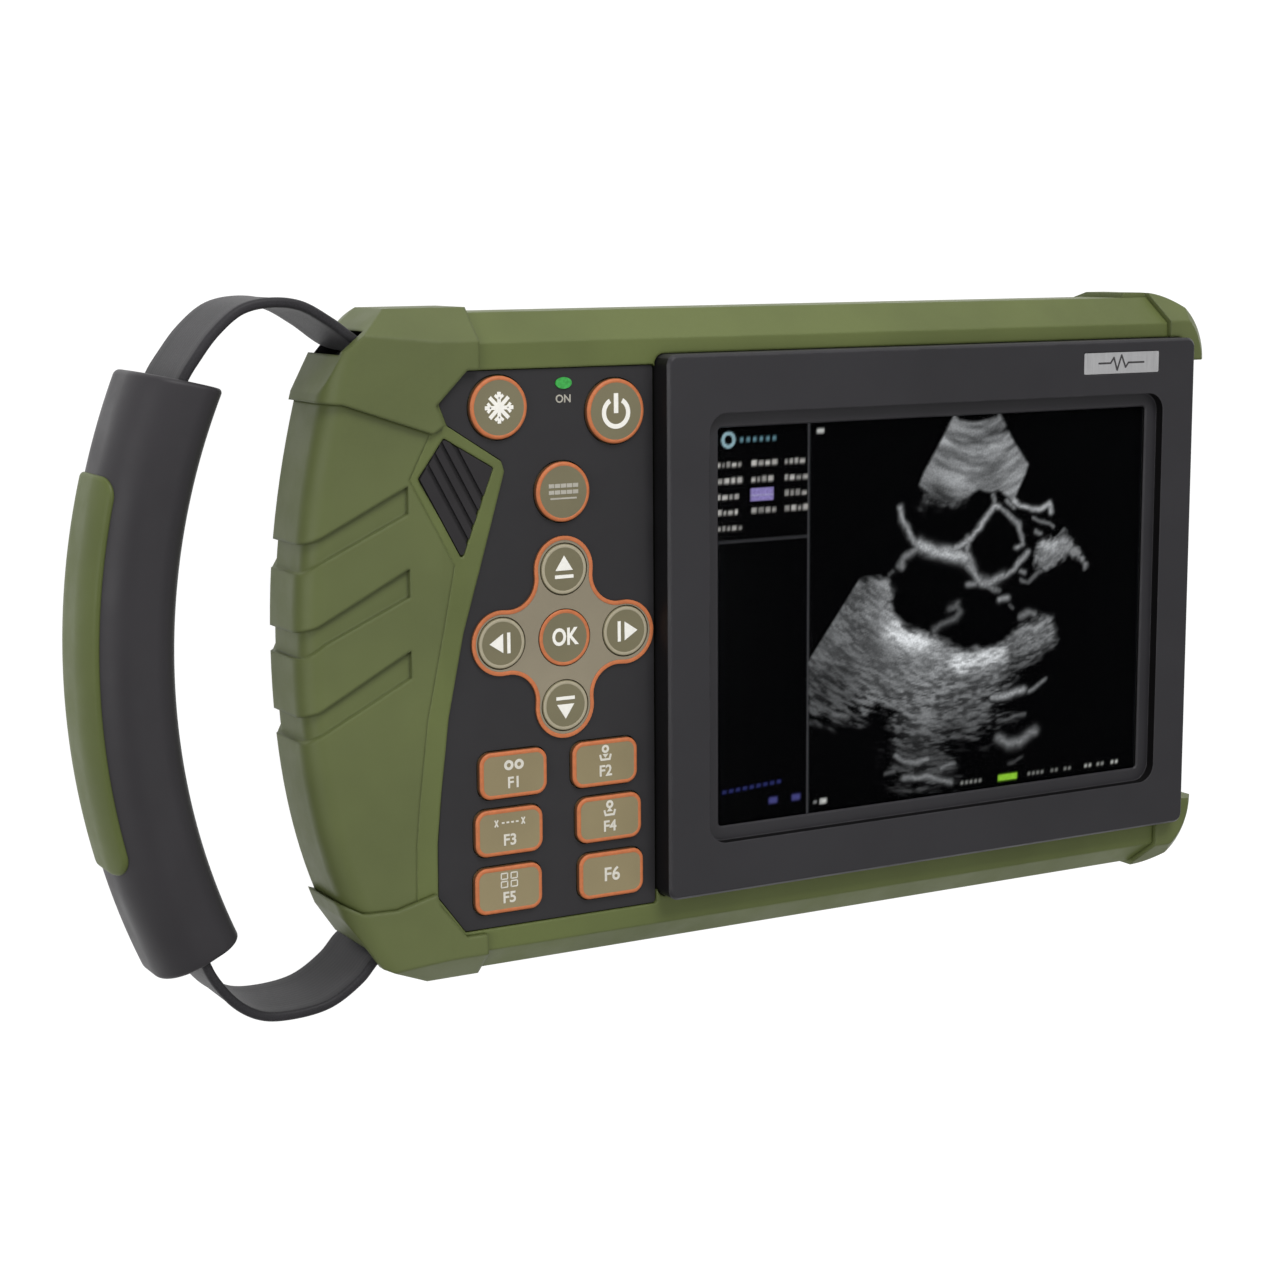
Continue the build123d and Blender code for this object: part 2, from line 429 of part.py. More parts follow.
# ---- inside ---------------------------------------------------------------------------
kb = [(-72.5, 53.0), (-109.0, 53.0), (-114.0, 47.6), (-98.5, 35.0), (-100.5, 29.0), (-109.0, 3.5), (-112.4, -13.0), (-115.0, -38.1), (-115.0, -48.6), (-111.2, -55.0), (-72.5, -55.0)]
nodes["keypad_mat"] = prism(kb, -10.8, -9.7) - cyl(-90.6, 52.1, -12, 0, 2.4)
nodes["keypad_board"] = prism(kb, -12.4, -10.8)
nodes["led_light_pipe"] = nodes["led_light_pipe"] + cyl(-90.6, 52.1, -10.8, -9.2, 1.2)
BR = (-66.0, 66.0, -53.0, 53.0)
bracket = box(-64.5, 64.5, -51.8, 51.8, -9.4, -8.0) - rbox(-45, 45, -35, 35, -12, 0, 6)
nodes["lcd_bracket"] = bracket
ST = [(-56.0, -44.0), (56.0, -44.0), (-56.0, 44.0), (56.0, 44.0)]
stand, bscrew = Part(), Part()
for x, y in ST:
    stand = stand + (cyl(x, y, -13.4, -9.4, 2.8) - cyl(x, y, -20, 0, 1.3))
    bscrew = bscrew + cyl(x, y, -16.6, -15.0, 2.5) + cyl(x, y, -15.0, -9.6, 1.3)
nodes["board_standoffs"] = stand
nodes["board_screws"] = bscrew
mb = rbox(-60.0, 60.0, -48.0, 48.0, -15.0, -13.4, 2.0)
for x, y in ST:
    mb = mb - cyl(x, y, -20, 0, 1.3)
mb = mb + box(-14, 14, -14, 14, -17.2, -15.0) + box(-44, -30, -8, 6, -16.6, -15.0) + box(28, 46, 8, 26, -16.8, -15.0) + box(20, 34, -34, -26, -16.4, -15.0)
nodes["main_board"] = mb
nodes["buzzer"] = cyl(-42.0, 40.0, -21.0, -15.0, 6.0) - cyl(-42.0, 40.0, -22.0, -20.2, 1.2)

# ---- handle ---------------------------------------------------------------------------
cx, cy = ARC_C
A0, A1 = 155.84, 203.7       # angles of the sleeve's two ends at its inner side, degrees from +X
R_IN, R_OUT = 5.0, 9.0       # corner radii of its section, towards the case and away from it


def section(r0, r1, z0, z1, ri, ro):
    sk = Polygon((r0, z0), (r1, z0), (r1, z1), (r0, z1), align=None)
    sk = fillet(sk.vertices().filter_by(lambda v: v.X > (r0 + r1) / 2), ro)
    return fillet(sk.vertices().filter_by(lambda v: v.X < r0 + 0.5), ri)


def arc_turn(sk, a0, a1):
    """Section turned about the arc's axis from angle a0 to a1."""
    return Pos(cx, cy, 0) * Rot(0, 0, a0) * revolve(Plane.XZ * sk, axis=Axis.Z, revolution_arc=a1 - a0)


def arc_body(r0, r1, z0, z1, a0, a1, rr):
    return arc_turn(Pos((r0 + r1) / 2, (z0 + z1) / 2) * RectangleRounded(r1 - r0, z1 - z0, rr), a0, a1)


def polar(r, a):
    return (cx + r * math.cos(math.radians(a)), cy + r * math.sin(math.radians(a)))


# the sleeve's ends lean a little from the radius
plan = prism([polar(120, A0 - 0.74), polar(160, A0 + 2.21), polar(190, 168), polar(190, 180), polar(190, 192), polar(160, A1 + 0.53), polar(120, A1 - 0.18),
              polar(110, 192), polar(110, 180), polar(110, 168)], -50, 10)
whole = arc_turn(section(*SLEEVE_R, *SLEEVE_Z, R_IN, R_OUT), A0 - 3, A1 + 5)
sleeve = whole & plan
slot = arc_body(ARC_R - STRAP_T / 2 - 0.02, ARC_R + STRAP_T / 2 + 0.02, STRAP_Z[0] - 0.02, STRAP_Z[1] + 0.02, A0 - 2, A1 + 4, 0.5)
t = PAD_R - SLEEVE_R[1]
pad = arc_turn(section(SLEEVE_R[0], PAD_R, SLEEVE_Z[0] - t, SLEEVE_Z[1] + t, R_IN, R_OUT + t), 164.9, 195.2)
pad = pad & box(-260, -100, -100, 100, -28.2, -9.8)
inner = arc_body(120.0, 142.5, -60, 20, A0 - 3, A1 + 3, 2.0)
nodes["grip_sleeve"] = sleeve - slot
nodes["grip_pad"] = pad - whole - inner

# strap: one flat band from pin to pin, through the sleeve
top = [(PIN_T[0] + 0.6, PIN_T[1] + 2.6), (-131.8, 60.6), (-138.3, 65.0), (-144.2, 68.2), (-150.2, 68.9), (-156.0, 67.7),
       (-161.2, 63.7), (-165.0, 59.1)]
bot = [(-165.6, -60.2), (-161.2, -65.7), (-156.6, -68.6), (-151.6, -69.5), (-142.4, -68.6), (-135.6, -64.7), (-131.4, -60.6), (PIN_B[0] + 0.4, PIN_B[1] - 2.6)]
mid = [(cx + ARC_R * math.cos(math.radians(t)), cy + ARC_R * math.sin(math.radians(t))) for t in (156.6, 162, 170, 180, 190, 198, 203.8)]
line = Spline(*[(p[0], p[1]) for p in top + mid + bot])
N = 64
lo, hi = [], []
for i in range(N + 1):
    p, t = line @ (i / N), line % (i / N)
    nx, ny = -t.Y, t.X
    lo.append((p.X + nx * STRAP_T / 2, p.Y + ny * STRAP_T / 2))
    hi.append((p.X - nx * STRAP_T / 2, p.Y - ny * STRAP_T / 2))
sA, sB = Spline(*lo), Spline(*hi)
band = make_face([sA, Line(lo[-1], hi[-1]), sB, Line(hi[0], lo[0])])
strap = Pos(0, 0, STRAP_Z[0]) * extrude(band, amount=STRAP_Z[1] - STRAP_Z[0])
for px, py in (PIN_T, PIN_B):
    strap = strap + (cyl(px, py, STRAP_Z[0], STRAP_Z[1], 4.0) - cyl(px, py, -40, 0, 2.0))
    strap = strap - cyl(px, py, -40, 0, 2.0)
nodes["hand_strap"] = strap
nodes["strap_pin_upper"] = strap_pins[0]
nodes["strap_pin_lower"] = strap_pins[1]
nodes["grip_sleeve"] = nodes["grip_sleeve"] - strap

for name, shape in nodes.items():
    shape = Pos(SHIFT) * shape
    export_step(shape, "parts/%s.step" % name)
    bb = shape.bounding_box()
    print("%-22s solids %d  vol %9.1f  x %.1f..%.1f y %.1f..%.1f z %.1f..%.1f" % (
        name, len(shape.solids()), shape.volume, bb.min.X, bb.max.X, bb.min.Y, bb.max.Y, bb.min.Z, bb.max.Z))
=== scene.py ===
import math
import bpy
import bmesh
import numpy as np
from mathutils import Matrix, Vector, noise


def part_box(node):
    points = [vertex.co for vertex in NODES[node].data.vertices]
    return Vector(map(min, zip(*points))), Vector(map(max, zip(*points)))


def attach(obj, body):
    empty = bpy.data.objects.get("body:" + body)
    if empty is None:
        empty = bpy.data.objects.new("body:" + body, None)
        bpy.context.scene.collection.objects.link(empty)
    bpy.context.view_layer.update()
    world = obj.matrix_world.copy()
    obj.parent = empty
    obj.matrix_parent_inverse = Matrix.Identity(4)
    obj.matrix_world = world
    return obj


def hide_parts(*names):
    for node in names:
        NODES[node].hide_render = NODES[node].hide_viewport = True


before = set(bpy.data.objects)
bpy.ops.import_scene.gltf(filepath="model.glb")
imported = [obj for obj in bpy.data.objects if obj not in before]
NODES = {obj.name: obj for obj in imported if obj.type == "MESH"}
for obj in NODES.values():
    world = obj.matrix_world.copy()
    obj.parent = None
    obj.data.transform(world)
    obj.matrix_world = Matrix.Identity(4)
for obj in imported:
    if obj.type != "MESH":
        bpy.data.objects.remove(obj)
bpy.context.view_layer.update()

# ------------------------------------------------------------------ frame of the drawing
# x, y in mm from the middle of the display, z in mm from the top of the bezel
_lo, _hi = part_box("screen_bezel")
OX = _lo.x * 1000 + 69.7
OY = _lo.y * 1000 + 55.8
OZ = _hi.z * 1000


def P(x, y, z):
    return Vector(((x + OX) / 1000, (y + OY) / 1000, (z + OZ) / 1000))


def lin(r, g, b):
    def f(c):
        c /= 255
        return c / 12.92 if c <= 0.04045 else ((c + 0.055) / 1.055) ** 2.4
    return (f(r), f(g), f(b), 1.0)


# ------------------------------------------------------------------ camera
cam_data = bpy.data.cameras.new("camera")
cam = bpy.data.objects.new("camera", cam_data)
bpy.context.scene.collection.objects.link(cam)
R = np.array([[0.8712, -0.006, 0.491], [-0.083, -0.9873, 0.1353], [0.4839, -0.1586, -0.8606]])
q, _ = np.linalg.qr(R.T)
q = q * np.sign(np.sum(q * R.T, axis=0))
R = q.T
m = Matrix(((R[0][0], -R[1][0], -R[2][0]), (R[0][1], -R[1][1], -R[2][1]), (R[0][2], -R[1][2], -R[2][2]))).to_4x4()
m.translation = P(-317.8, 80.8, 429.5)
cam.matrix_world = m
cam_data.sensor_width = 36
cam_data.lens = 2461.85 / 1282 * 36
cam_data.clip_start, cam_data.clip_end = 0.01, 20
bpy.context.scene.camera = cam

# ------------------------------------------------------------------ material helper


class Nodes:
    """Short way to build a node tree."""

    def __init__(self, name):
        self.m = bpy.data.materials.new(name)
        self.m.use_nodes = True
        self.t = self.m.node_tree
        self.t.nodes.clear()
        self.out = self.t.nodes.new("ShaderNodeOutputMaterial")
        self.b = self.t.nodes.new("ShaderNodeBsdfPrincipled")
        self.t.links.new(self.b.outputs[0], self.out.inputs[0])
        self.tc = self.t.nodes.new("ShaderNodeTexCoord").outputs["Object"]

    def link(self, a, b):
        self.t.links.new(a, b)

    def set(self, node, name, v):
        if hasattr(v, "is_output"):
            self.link(v, node.inputs[name])
        else:
            node.inputs[name].default_value = v

    def math(self, op, a, b=0.0, c=None):
        n = self.t.nodes.new("ShaderNodeMath")
        n.operation = op
        self.set(n, 0, a)
        self.set(n, 1, b)
        if c is not None:
            self.set(n, 2, c)
        return n.outputs[0]

    def clamp01(self, a):
        n = self.t.nodes.new("ShaderNodeClamp")
        self.set(n, 0, a)
        return n.outputs[0]

    def ramp(self, v, a, b, lo=0.0, hi=1.0, smooth=True):
        n = self.t.nodes.new("ShaderNodeMapRange")
        n.interpolation_type = "SMOOTHSTEP" if smooth else "LINEAR"
        self.set(n, "Value", v)
        self.set(n, "From Min", a)
        self.set(n, "From Max", b)
        self.set(n, "To Min", lo)
        self.set(n, "To Max", hi)
        return n.outputs[0]

    def scaled(self, sx, sy=None, sz=None, rot=(0, 0, 0)):
        n = self.t.nodes.new("ShaderNodeMapping")
        self.link(self.tc, n.inputs[0])
        n.inputs["Scale"].default_value = (sx, sy or sx, sz or sx)
        n.inputs["Rotation"].default_value = rot
        return n.outputs[0]

    def noise(self, size_mm, detail=2.0, rough=0.5, vec=None, distort=0.0):
        n = self.t.nodes.new("ShaderNodeTexNoise")
        self.link(vec or self.tc, n.inputs["Vector"])
        n.inputs["Scale"].default_value = 1000.0 / size_mm
        n.inputs["Detail"].default_value = detail
        n.inputs["Roughness"].default_value = rough
        n.inputs["Distortion"].default_value = distort
        return n.outputs["Fac"]

    def voronoi(self, size_mm, vec=None, feature="F1"):
        n = self.t.nodes.new("ShaderNodeTexVoronoi")
        n.feature = feature
        self.link(vec or self.tc, n.inputs["Vector"])
        n.inputs["Scale"].default_value = 1000.0 / size_mm
        return n.outputs["Distance"]

    def mix(self, fac, a, b, mode="MIX"):
        n = self.t.nodes.new("ShaderNodeMix")
        n.data_type = "RGBA"
        n.blend_type = mode
        self.set(n, 0, fac)
        self.set(n, 6, a)
        self.set(n, 7, b)
        return n.outputs[2]

    def bump(self, height, dist_mm, strength=1.0, normal=None):
        n = self.t.nodes.new("ShaderNodeBump")
        self.set(n, "Height", height)
        n.inputs["Strength"].default_value = strength
        n.inputs["Distance"].default_value = dist_mm / 1000
        if normal is not None:
            self.link(normal, n.inputs["Normal"])
        return n.outputs[0]

    def edge(self, radius_mm, samples=4):
        """0 on flats, rising on convex and concave edges."""
        n = self.t.nodes.new("ShaderNodeBevel")
        n.samples = samples
        n.inputs["Radius"].default_value = radius_mm / 1000
        g = self.t.nodes.new("ShaderNodeNewGeometry")
        d = self.t.nodes.new("ShaderNodeVectorMath")
        d.operation = "DOT_PRODUCT"
        self.link(n.outputs[0], d.inputs[0])
        self.link(g.outputs["Normal"], d.inputs[1])
        return self.ramp(d.outputs["Value"], 0.995, 0.86)


def moulded(name, rgb, rough=0.45, grain_mm=0.35, grain_depth=0.02, var=0.06, wear=None, wear_amt=0.35,
            spec=0.38, sheen=0.0, scratch=0.0, dust=0.0, wear_r=0.7, coat=0.0, round_mm=0.0):
    """Moulded plastic or rubber: spark-eroded grain, slow tone drift, rubbed edges, hairline scratches, settled dust."""
    s = Nodes(name)
    base = rgb
    dark = tuple(c * (1 - var * 2.2) for c in rgb[:3]) + (1,)
    light = tuple(min(1, c * (1 + var * 2.2)) for c in rgb[:3]) + (1,)
    slow = s.ramp(s.noise(38, 3, 0.6), 0.3, 0.7)
    col = s.mix(slow, dark, light)
    fine = s.ramp(s.noise(1.1, 3, 0.65), 0.25, 0.75, 0.0, 1.0)
    col = s.mix(s.math("MULTIPLY", fine, 0.35), col, base)
    r = s.math("ADD", s.ramp(s.noise(9, 4, 0.6), 0.3, 0.7, -0.05, 0.05), rough)
    grain = s.math("ADD", s.math("MULTIPLY", s.noise(grain_mm, 2, 0.6), 0.7), s.math("MULTIPLY", s.voronoi(grain_mm * 1.7), 0.5))
    if wear:
        e = s.edge(wear_r)
        patch = s.ramp(s.noise(4.5, 4, 0.7), 0.38, 0.62)
        k = s.math("MULTIPLY", s.math("MULTIPLY", e, patch), wear_amt)
        col = s.mix(k, col, wear)
        r = s.math("SUBTRACT", r, s.math("MULTIPLY", k, 0.12))
    if scratch:
        v = s.scaled(1.0, 0.06, 0.3, (0, 0, 0.5))
        a = s.ramp(s.noise(1.6, 2, 0.5, v), 0.66, 0.72)
        b = s.ramp(s.noise(20, 2, 0.5), 0.5, 0.62)
        k = s.math("MULTIPLY", s.math("MULTIPLY", a, b), scratch)
        col = s.mix(k, col, light)
        r = s.math("ADD", r, s.math("MULTIPLY", k, 0.15))
    if dust:
        k = s.math("MULTIPLY", s.ramp(s.noise(14, 5, 0.7), 0.5, 0.75), dust)
        col = s.mix(k, col, lin(170, 168, 155))
    s.link(col, s.b.inputs["Base Color"])
    s.link(s.clamp01(r), s.b.inputs["Roughness"])
    s.b.inputs["Specular IOR Level"].default_value = spec
    if sheen:
        s.b.inputs["Sheen Weight"].default_value = sheen
        s.b.inputs["Sheen Roughness"].default_value = 0.5
    if coat:
        s.b.inputs["Coat Weight"].default_value = coat
        s.b.inputs["Coat Roughness"].default_value = 0.25
    soft = None
    if round_mm:
        bev = s.t.nodes.new("ShaderNodeBevel")
        bev.samples = 6
        bev.inputs["Radius"].default_value = round_mm / 1000
        soft = bev.outputs[0]
    s.link(s.bump(grain, grain_depth, 0.8, soft), s.b.inputs["Normal"])
    return s.m


def printed(name, rgb, rough=0.5, var=0.05):
    """Screen-printed ink: slight mottling and soft grain."""
    s = Nodes(name)
    a = tuple(c * (1 - var) for c in rgb[:3]) + (1,)
    b = tuple(min(1, c * (1 + var)) for c in rgb[:3]) + (1,)
    s.link(s.mix(s.ramp(s.noise(1.2, 3, 0.6), 0.3, 0.7), a, b), s.b.inputs["Base Color"])
    s.link(s.ramp(s.noise(0.6, 2, 0.5), 0.2, 0.8, rough - 0.06, rough + 0.06), s.b.inputs["Roughness"])
    s.link(s.bump(s.noise(0.25, 2, 0.5), 0.006), s.b.inputs["Normal"])
    return s.m


def metal(name, rgb, rough=0.3, along=(1, 0.04, 1), depth=0.004):
    """Machined or brushed metal."""
    s = Nodes(name)
    v = s.scaled(*along)
    n = s.noise(0.25, 3, 0.6, v)
    dark = tuple(c * 0.82 for c in rgb[:3]) + (1,)
    s.link(s.mix(n, dark, rgb), s.b.inputs["Base Color"])
    s.b.inputs["Metallic"].default_value = 1.0
    s.link(s.ramp(n, 0.2, 0.8, rough - 0.08, rough + 0.1), s.b.inputs["Roughness"])
    s.link(s.bump(n, depth), s.b.inputs["Normal"])
    return s.m


GREEN = lin(92, 101, 56)
M = {}
M["green"] = moulded("green_plastic", GREEN, 0.5, 0.30, 0.010, 0.05, wear=lin(128, 137, 92), wear_amt=0.28, scratch=0.10, wear_r=0.5, round_mm=0.8, spec=0.3)
M["green_back"] = moulded("green_plastic_back", GREEN, 0.48, 0.55, 0.03, 0.05, wear=lin(128, 137, 92), wear_amt=0.35, scratch=0.25, wear_r=0.5, round_mm=0.5)
M["skin"] = moulded("green_skin", lin(91, 99, 58), 0.50, 0.22, 0.008, 0.05, wear=lin(120, 128, 88), wear_amt=0.25, wear_r=0.5, round_mm=1.0, spec=0.3)
M["pad"] = moulded("pad_green", lin(80, 89, 44), 0.5, 0.20, 0.006, 0.04, wear=lin(108, 116, 74), wear_amt=0.2, spec=0.3)
M["bezel"] = moulded("bezel_plastic", lin(43, 42, 45), 0.42, 0.22, 0.007, 0.04, wear=lin(78, 76, 80), wear_amt=0.3, scratch=0.12, spec=0.3, round_mm=0.5)
# near-black painted shade, laid on the walls of the display opening and of the strap slots
M["painted_shade_black"] = moulded("recess_painted_shade", lin(13, 12, 13), 0.6, 0.3, 0.006, 0.08, spec=0.15)
# darker copy of the bezel: painted shade on its left outer wall, which faces away from the lights
M["shaded_bezel_wall"] = moulded("bezel_wall_painted_shade", lin(20, 19, 21), 0.5, 0.22, 0.007, 0.05, spec=0.2)
M["panel"] = moulded("panel_film", lin(40, 39, 41), 0.48, 0.28, 0.008, 0.05, spec=0.3)
M["inlay"] = moulded("inlay_rubber", lin(38, 36, 38), 0.62, 0.18, 0.008, 0.06, spec=0.3)
M["key"] = moulded("key_silicone", lin(138, 126, 94), 0.52, 0.16, 0.005, 0.05, wear=lin(176, 164, 130), wear_amt=0.2)
M["roundkey"] = moulded("round_key_silicone", lin(116, 110, 84), 0.52, 0.16, 0.005, 0.05, wear=lin(160, 150, 120), wear_amt=0.2)
M["dpad"] = moulded("dpad_silicone", lin(139, 130, 110), 0.52, 0.16, 0.005, 0.05)
M["orange"] = printed("orange_rim", lin(190, 108, 62), 0.55, 0.08)
# darker brown-orange: painted shade for the steep flanks of the key rims
M["keyside"] = moulded("rim_flank_painted_shade", lin(104, 66, 42), 0.6, 0.2, 0.006, 0.06, spec=0.2)
M["white"] = printed("white_ink", lin(240, 238, 230), 0.5, 0.03)
M["labelgrey"] = printed("label_ink", lin(212, 208, 196), 0.5, 0.04)
M["mutedwhite"] = printed("grey_ink", lin(172, 168, 156), 0.5, 0.05)
M["ringgrey"] = printed("grey_ring", lin(164, 156, 132), 0.5, 0.04)
M["sleeve"] = moulded("sleeve_rubber", lin(44, 42, 45), 0.50, 0.25, 0.008, 0.05, wear=lin(74, 71, 75), wear_amt=0.25, sheen=0.05, spec=0.3)
M["feet"] = moulded("feet_rubber", lin(40, 40, 41), 0.7, 0.3, 0.015, 0.08)
M["black"] = moulded("black_plastic", lin(34, 34, 36), 0.4, 0.25, 0.008, 0.06)
M["gasket"] = moulded("gasket_foam", lin(20, 20, 21), 0.85, 0.15, 0.02, 0.1)
M["seal"] = moulded("seal_silicone", lin(120, 120, 122), 0.5, 0.3, 0.006, 0.06)
M["mat"] = moulded("mat_silicone", lin(150, 152, 150), 0.45, 0.3, 0.006, 0.06)
M["board"] = moulded("board_resist", lin(24, 78, 48), 0.3, 0.9, 0.02, 0.12)
M["battery"] = moulded("battery_wrap", lin(36, 48, 84), 0.3, 2.0, 0.03, 0.08)
M["steel"] = metal("steel", (0.55, 0.55, 0.56, 1), 0.32)
M["alu"] = metal("alu_sheet", (0.74, 0.74, 0.75, 1), 0.38)
M["brass"] = metal("brass", (0.72, 0.53, 0.22, 1), 0.3)
M["gold"] = metal("gold_contacts", (0.86, 0.62, 0.24, 1), 0.2)


def webbing():
    s = Nodes("strap_webbing")
    warp = s.t.nodes.new("ShaderNodeTexWave")
    warp.wave_type, warp.bands_direction = "BANDS", "Z"
    s.link(s.tc, warp.inputs["Vector"])
    warp.inputs["Scale"].default_value = 1000 / 0.62 / 20 * 6.2832 / 2
    warp.inputs["Distortion"].default_value = 0.6
    warp.inputs["Detail"].default_value = 1.0
    fine = s.noise(0.35, 3, 0.6)
    h = s.math("ADD", s.math("MULTIPLY", warp.outputs["Fac"], 0.6), s.math("MULTIPLY", fine, 0.5))
    col = s.mix(s.ramp(fine, 0.3, 0.7), lin(31, 30, 32), lin(44, 43, 46))
    col = s.mix(s.math("MULTIPLY", s.ramp(s.noise(14, 3, 0.6), 0.35, 0.7), 0.4), col, lin(50, 48, 52))
    s.link(col, s.b.inputs["Base Color"])
    s.link(s.ramp(fine, 0.2, 0.8, 0.48, 0.62), s.b.inputs["Roughness"])
    s.b.inputs["Sheen Weight"].default_value = 0.05
    s.b.inputs["Specular IOR Level"].default_value = 0.25
    s.b.inputs["Sheen Roughness"].default_value = 0.45
    s.link(s.bump(h, 0.02, 0.7), s.b.inputs["Normal"])
    return s.m


M["strap"] = webbing()


def stitch_mat():
    return printed("strap_thread", lin(92, 90, 94), 0.6, 0.1)


M["thread"] = stitch_mat()


def led():
    s = Nodes("led_green")
    s.link(s.mix(s.ramp(s.noise(0.8, 2, 0.5), 0.3, 0.7), lin(24, 128, 42), lin(44, 158, 62)), s.b.inputs["Base Color"])
    s.b.inputs["Roughness"].default_value = 0.2
    s.b.inputs["Emission Color"].default_value = lin(40, 190, 60)
    s.b.inputs["Emission Strength"].default_value = 0.12
    s.link(s.bump(s.noise(0.3, 2, 0.5), 0.01), s.b.inputs["Normal"])
    return s.m


M["led"] = led()


def window():
    """Clear hardened sheet: mostly see-through, with a faint gloss."""
    s = Nodes("window_glass")
    s.t.nodes.remove(s.b)
    tr = s.t.nodes.new("ShaderNodeBsdfTransparent")
    tr.inputs[0].default_value = (0.97, 0.98, 0.98, 1)
    gl = s.t.nodes.new("ShaderNodeBsdfGlossy")
    gl.inputs["Color"].default_value = (1, 1, 1, 1)
    s.link(s.ramp(s.noise(12, 4, 0.6), 0.3, 0.7, 0.05, 0.12), gl.inputs["Roughness"])
    s.link(s.bump(s.noise(30, 2, 0.4), 0.01, 0.2), gl.inputs["Normal"])
    mx = s.t.nodes.new("ShaderNodeMixShader")
    mx.inputs[0].default_value = 0.0012
    s.link(tr.outputs[0], mx.inputs[1])
    s.link(gl.outputs[0], mx.inputs[2])
    s.link(mx.outputs[0], s.out.inputs[0])
    return s.m


M["window"] = window()


def lcd_body():
    s = Nodes("lcd_glass")
    s.link(s.mix(s.ramp(s.noise(6, 3, 0.5), 0.3, 0.7), (0.003, 0.003, 0.004, 1), (0.006, 0.006, 0.008, 1)), s.b.inputs["Base Color"])
    s.b.inputs["Roughness"].default_value = 0.5
    s.b.inputs["Specular IOR Level"].default_value = 0.05
    s.link(s.bump(s.noise(0.3, 2, 0.5), 0.003), s.b.inputs["Normal"])
    return s.m


M["lcd"] = lcd_body()

# ------------------------------------------------------------------ CAD nodes keep their shape and get a finish
FINISH = {
    "front_shell": "green", "rear_shell": "green_back", "battery_door": "green_back", "grip_cover": "skin",
    "bumper_top_left": "skin", "bumper_bottom_left": "skin", "bumper_top_right": "skin", "bumper_bottom_right": "skin",
    "screen_bezel": "bezel", "keypad_panel": "panel", "rib_inlay": "inlay", "dpad_plate": "dpad", "display_window": "window",
    "lcd_module": "lcd", "window_gasket": "gasket", "shell_seal": "seal", "led_light_pipe": "led", "keypad_board": "board",
    "main_board": "board", "lcd_bracket": "alu", "board_standoffs": "brass", "threaded_inserts": "brass", "shell_screws": "steel",
    "board_screws": "steel", "door_hinge_pin": "steel", "flap_hinge_pin": "steel", "strap_pin_upper": "steel", "strap_pin_lower": "steel",
    "keypad_mat": "mat", "battery_pack": "battery", "rear_feet": "feet", "probe_socket": "black", "dc_jack": "black", "usb_port": "steel",
    "probe_socket_pins": "gold", "buzzer": "black", "port_flap": "inlay", "battery_latch": "black", "badge_plate": "alu",
    "hand_strap": "strap", "grip_sleeve": "sleeve", "grip_pad": "pad",
}
KEYS = ["freeze_key", "power_key", "mode_key", "up_key", "left_key", "right_key", "down_key", "ok_key",
        "f1_key", "f2_key", "f3_key", "f4_key", "f5_key", "f6_key"]
for k in KEYS:
    FINISH[k] = "key" if k[0] == "f" and k[1].isdigit() else "roundkey"


def smooth_by_angle(o, deg=30):
    me = o.data
    for p in me.polygons:
        p.use_smooth = True
    me.set_sharp_from_angle(angle=math.radians(deg))


def soften(o, width_mm=0.35, seg=2, angle=28):
    w = o.modifiers.new("weld", "WELD")
    w.merge_threshold = 1e-6
    b = o.modifiers.new("bevel", "BEVEL")
    b.width = width_mm / 1000
    b.segments = seg
    b.limit_method = "ANGLE"
    b.angle_limit = math.radians(angle)
    b.miter_outer = "MITER_ARC"
    b.harden_normals = False
    return b


for n, o in NODES.items():
    o.data.materials.clear()
    o.data.materials.append(M[FINISH[n]])
    smooth_by_angle(o)



def paint_shade_on_faces(node, mat, test):
    """Gives the faces of a node for which test(centre, normal) holds another material, here a painted shade; nothing is
    moved.
    """
    me = NODES[node].data
    me.materials.append(M[mat])
    k = len(me.materials) - 1
    mw = NODES[node].matrix_world
    for p in me.polygons:
        c = mw @ p.center
        n_ = (mw.to_3x3() @ p.normal).normalized()
        if test((c.x * 1000 - OX, c.y * 1000 - OY, c.z * 1000 - OZ), n_):
            p.material_index = k


def in_opening(c, n_):
    return abs(c[0]) < 60.2 and abs(c[1]) < 45.3 and c[2] < -0.02 and abs(n_.z) < 0.6


# the walls and slopes inside the display opening get painted shade
paint_shade_on_faces("screen_bezel", "painted_shade_black", in_opening)
# the bezel's left outer wall gets painted shade
paint_shade_on_faces("screen_bezel", "shaded_bezel_wall", lambda c, n_: c[0] < -69.0 and n_.x < -0.8)
PITS = [[(-136.6, 58.5), (-131.0, 52.4), (-122.4, 52.4), (-122.4, 60.1), (-126.9, 61.6), (-131.2, 62.8), (-138.1, 67.2), (-141.0, 76.2), (-150.4, 66.0)],
        [(-134.9, -58.3), (-130.5, -51.8), (-122.4, -51.6), (-122.4, -59.7), (-126.9, -63.8), (-134.0, -74.2), (-146.3, -66.0)]]


def in_pit(c, n_):
    if not -31.6 < c[2] < -8.2:
        return False
    for pit in PITS:
        hit = False
        for i in range(len(pit)):
            (x0, y0), (x1, y1) = pit[i], pit[(i + 1) % len(pit)]
            if (y0 > c[1]) != (y1 > c[1]) and c[0] < (x1 - x0) * (c[1] - y0) / (y1 - y0) + x0:
                hit = not hit
        if hit:
            return True
    return False


# the walls of the strap slots get near-black painted shade, standing in for the dark pockets
for n in ("bumper_top_left", "bumper_bottom_left", "front_shell", "rear_shell", "grip_cover"):
    paint_shade_on_faces(n, "painted_shade_black", in_pit)

# ------------------------------------------------------------------ mesh helpers


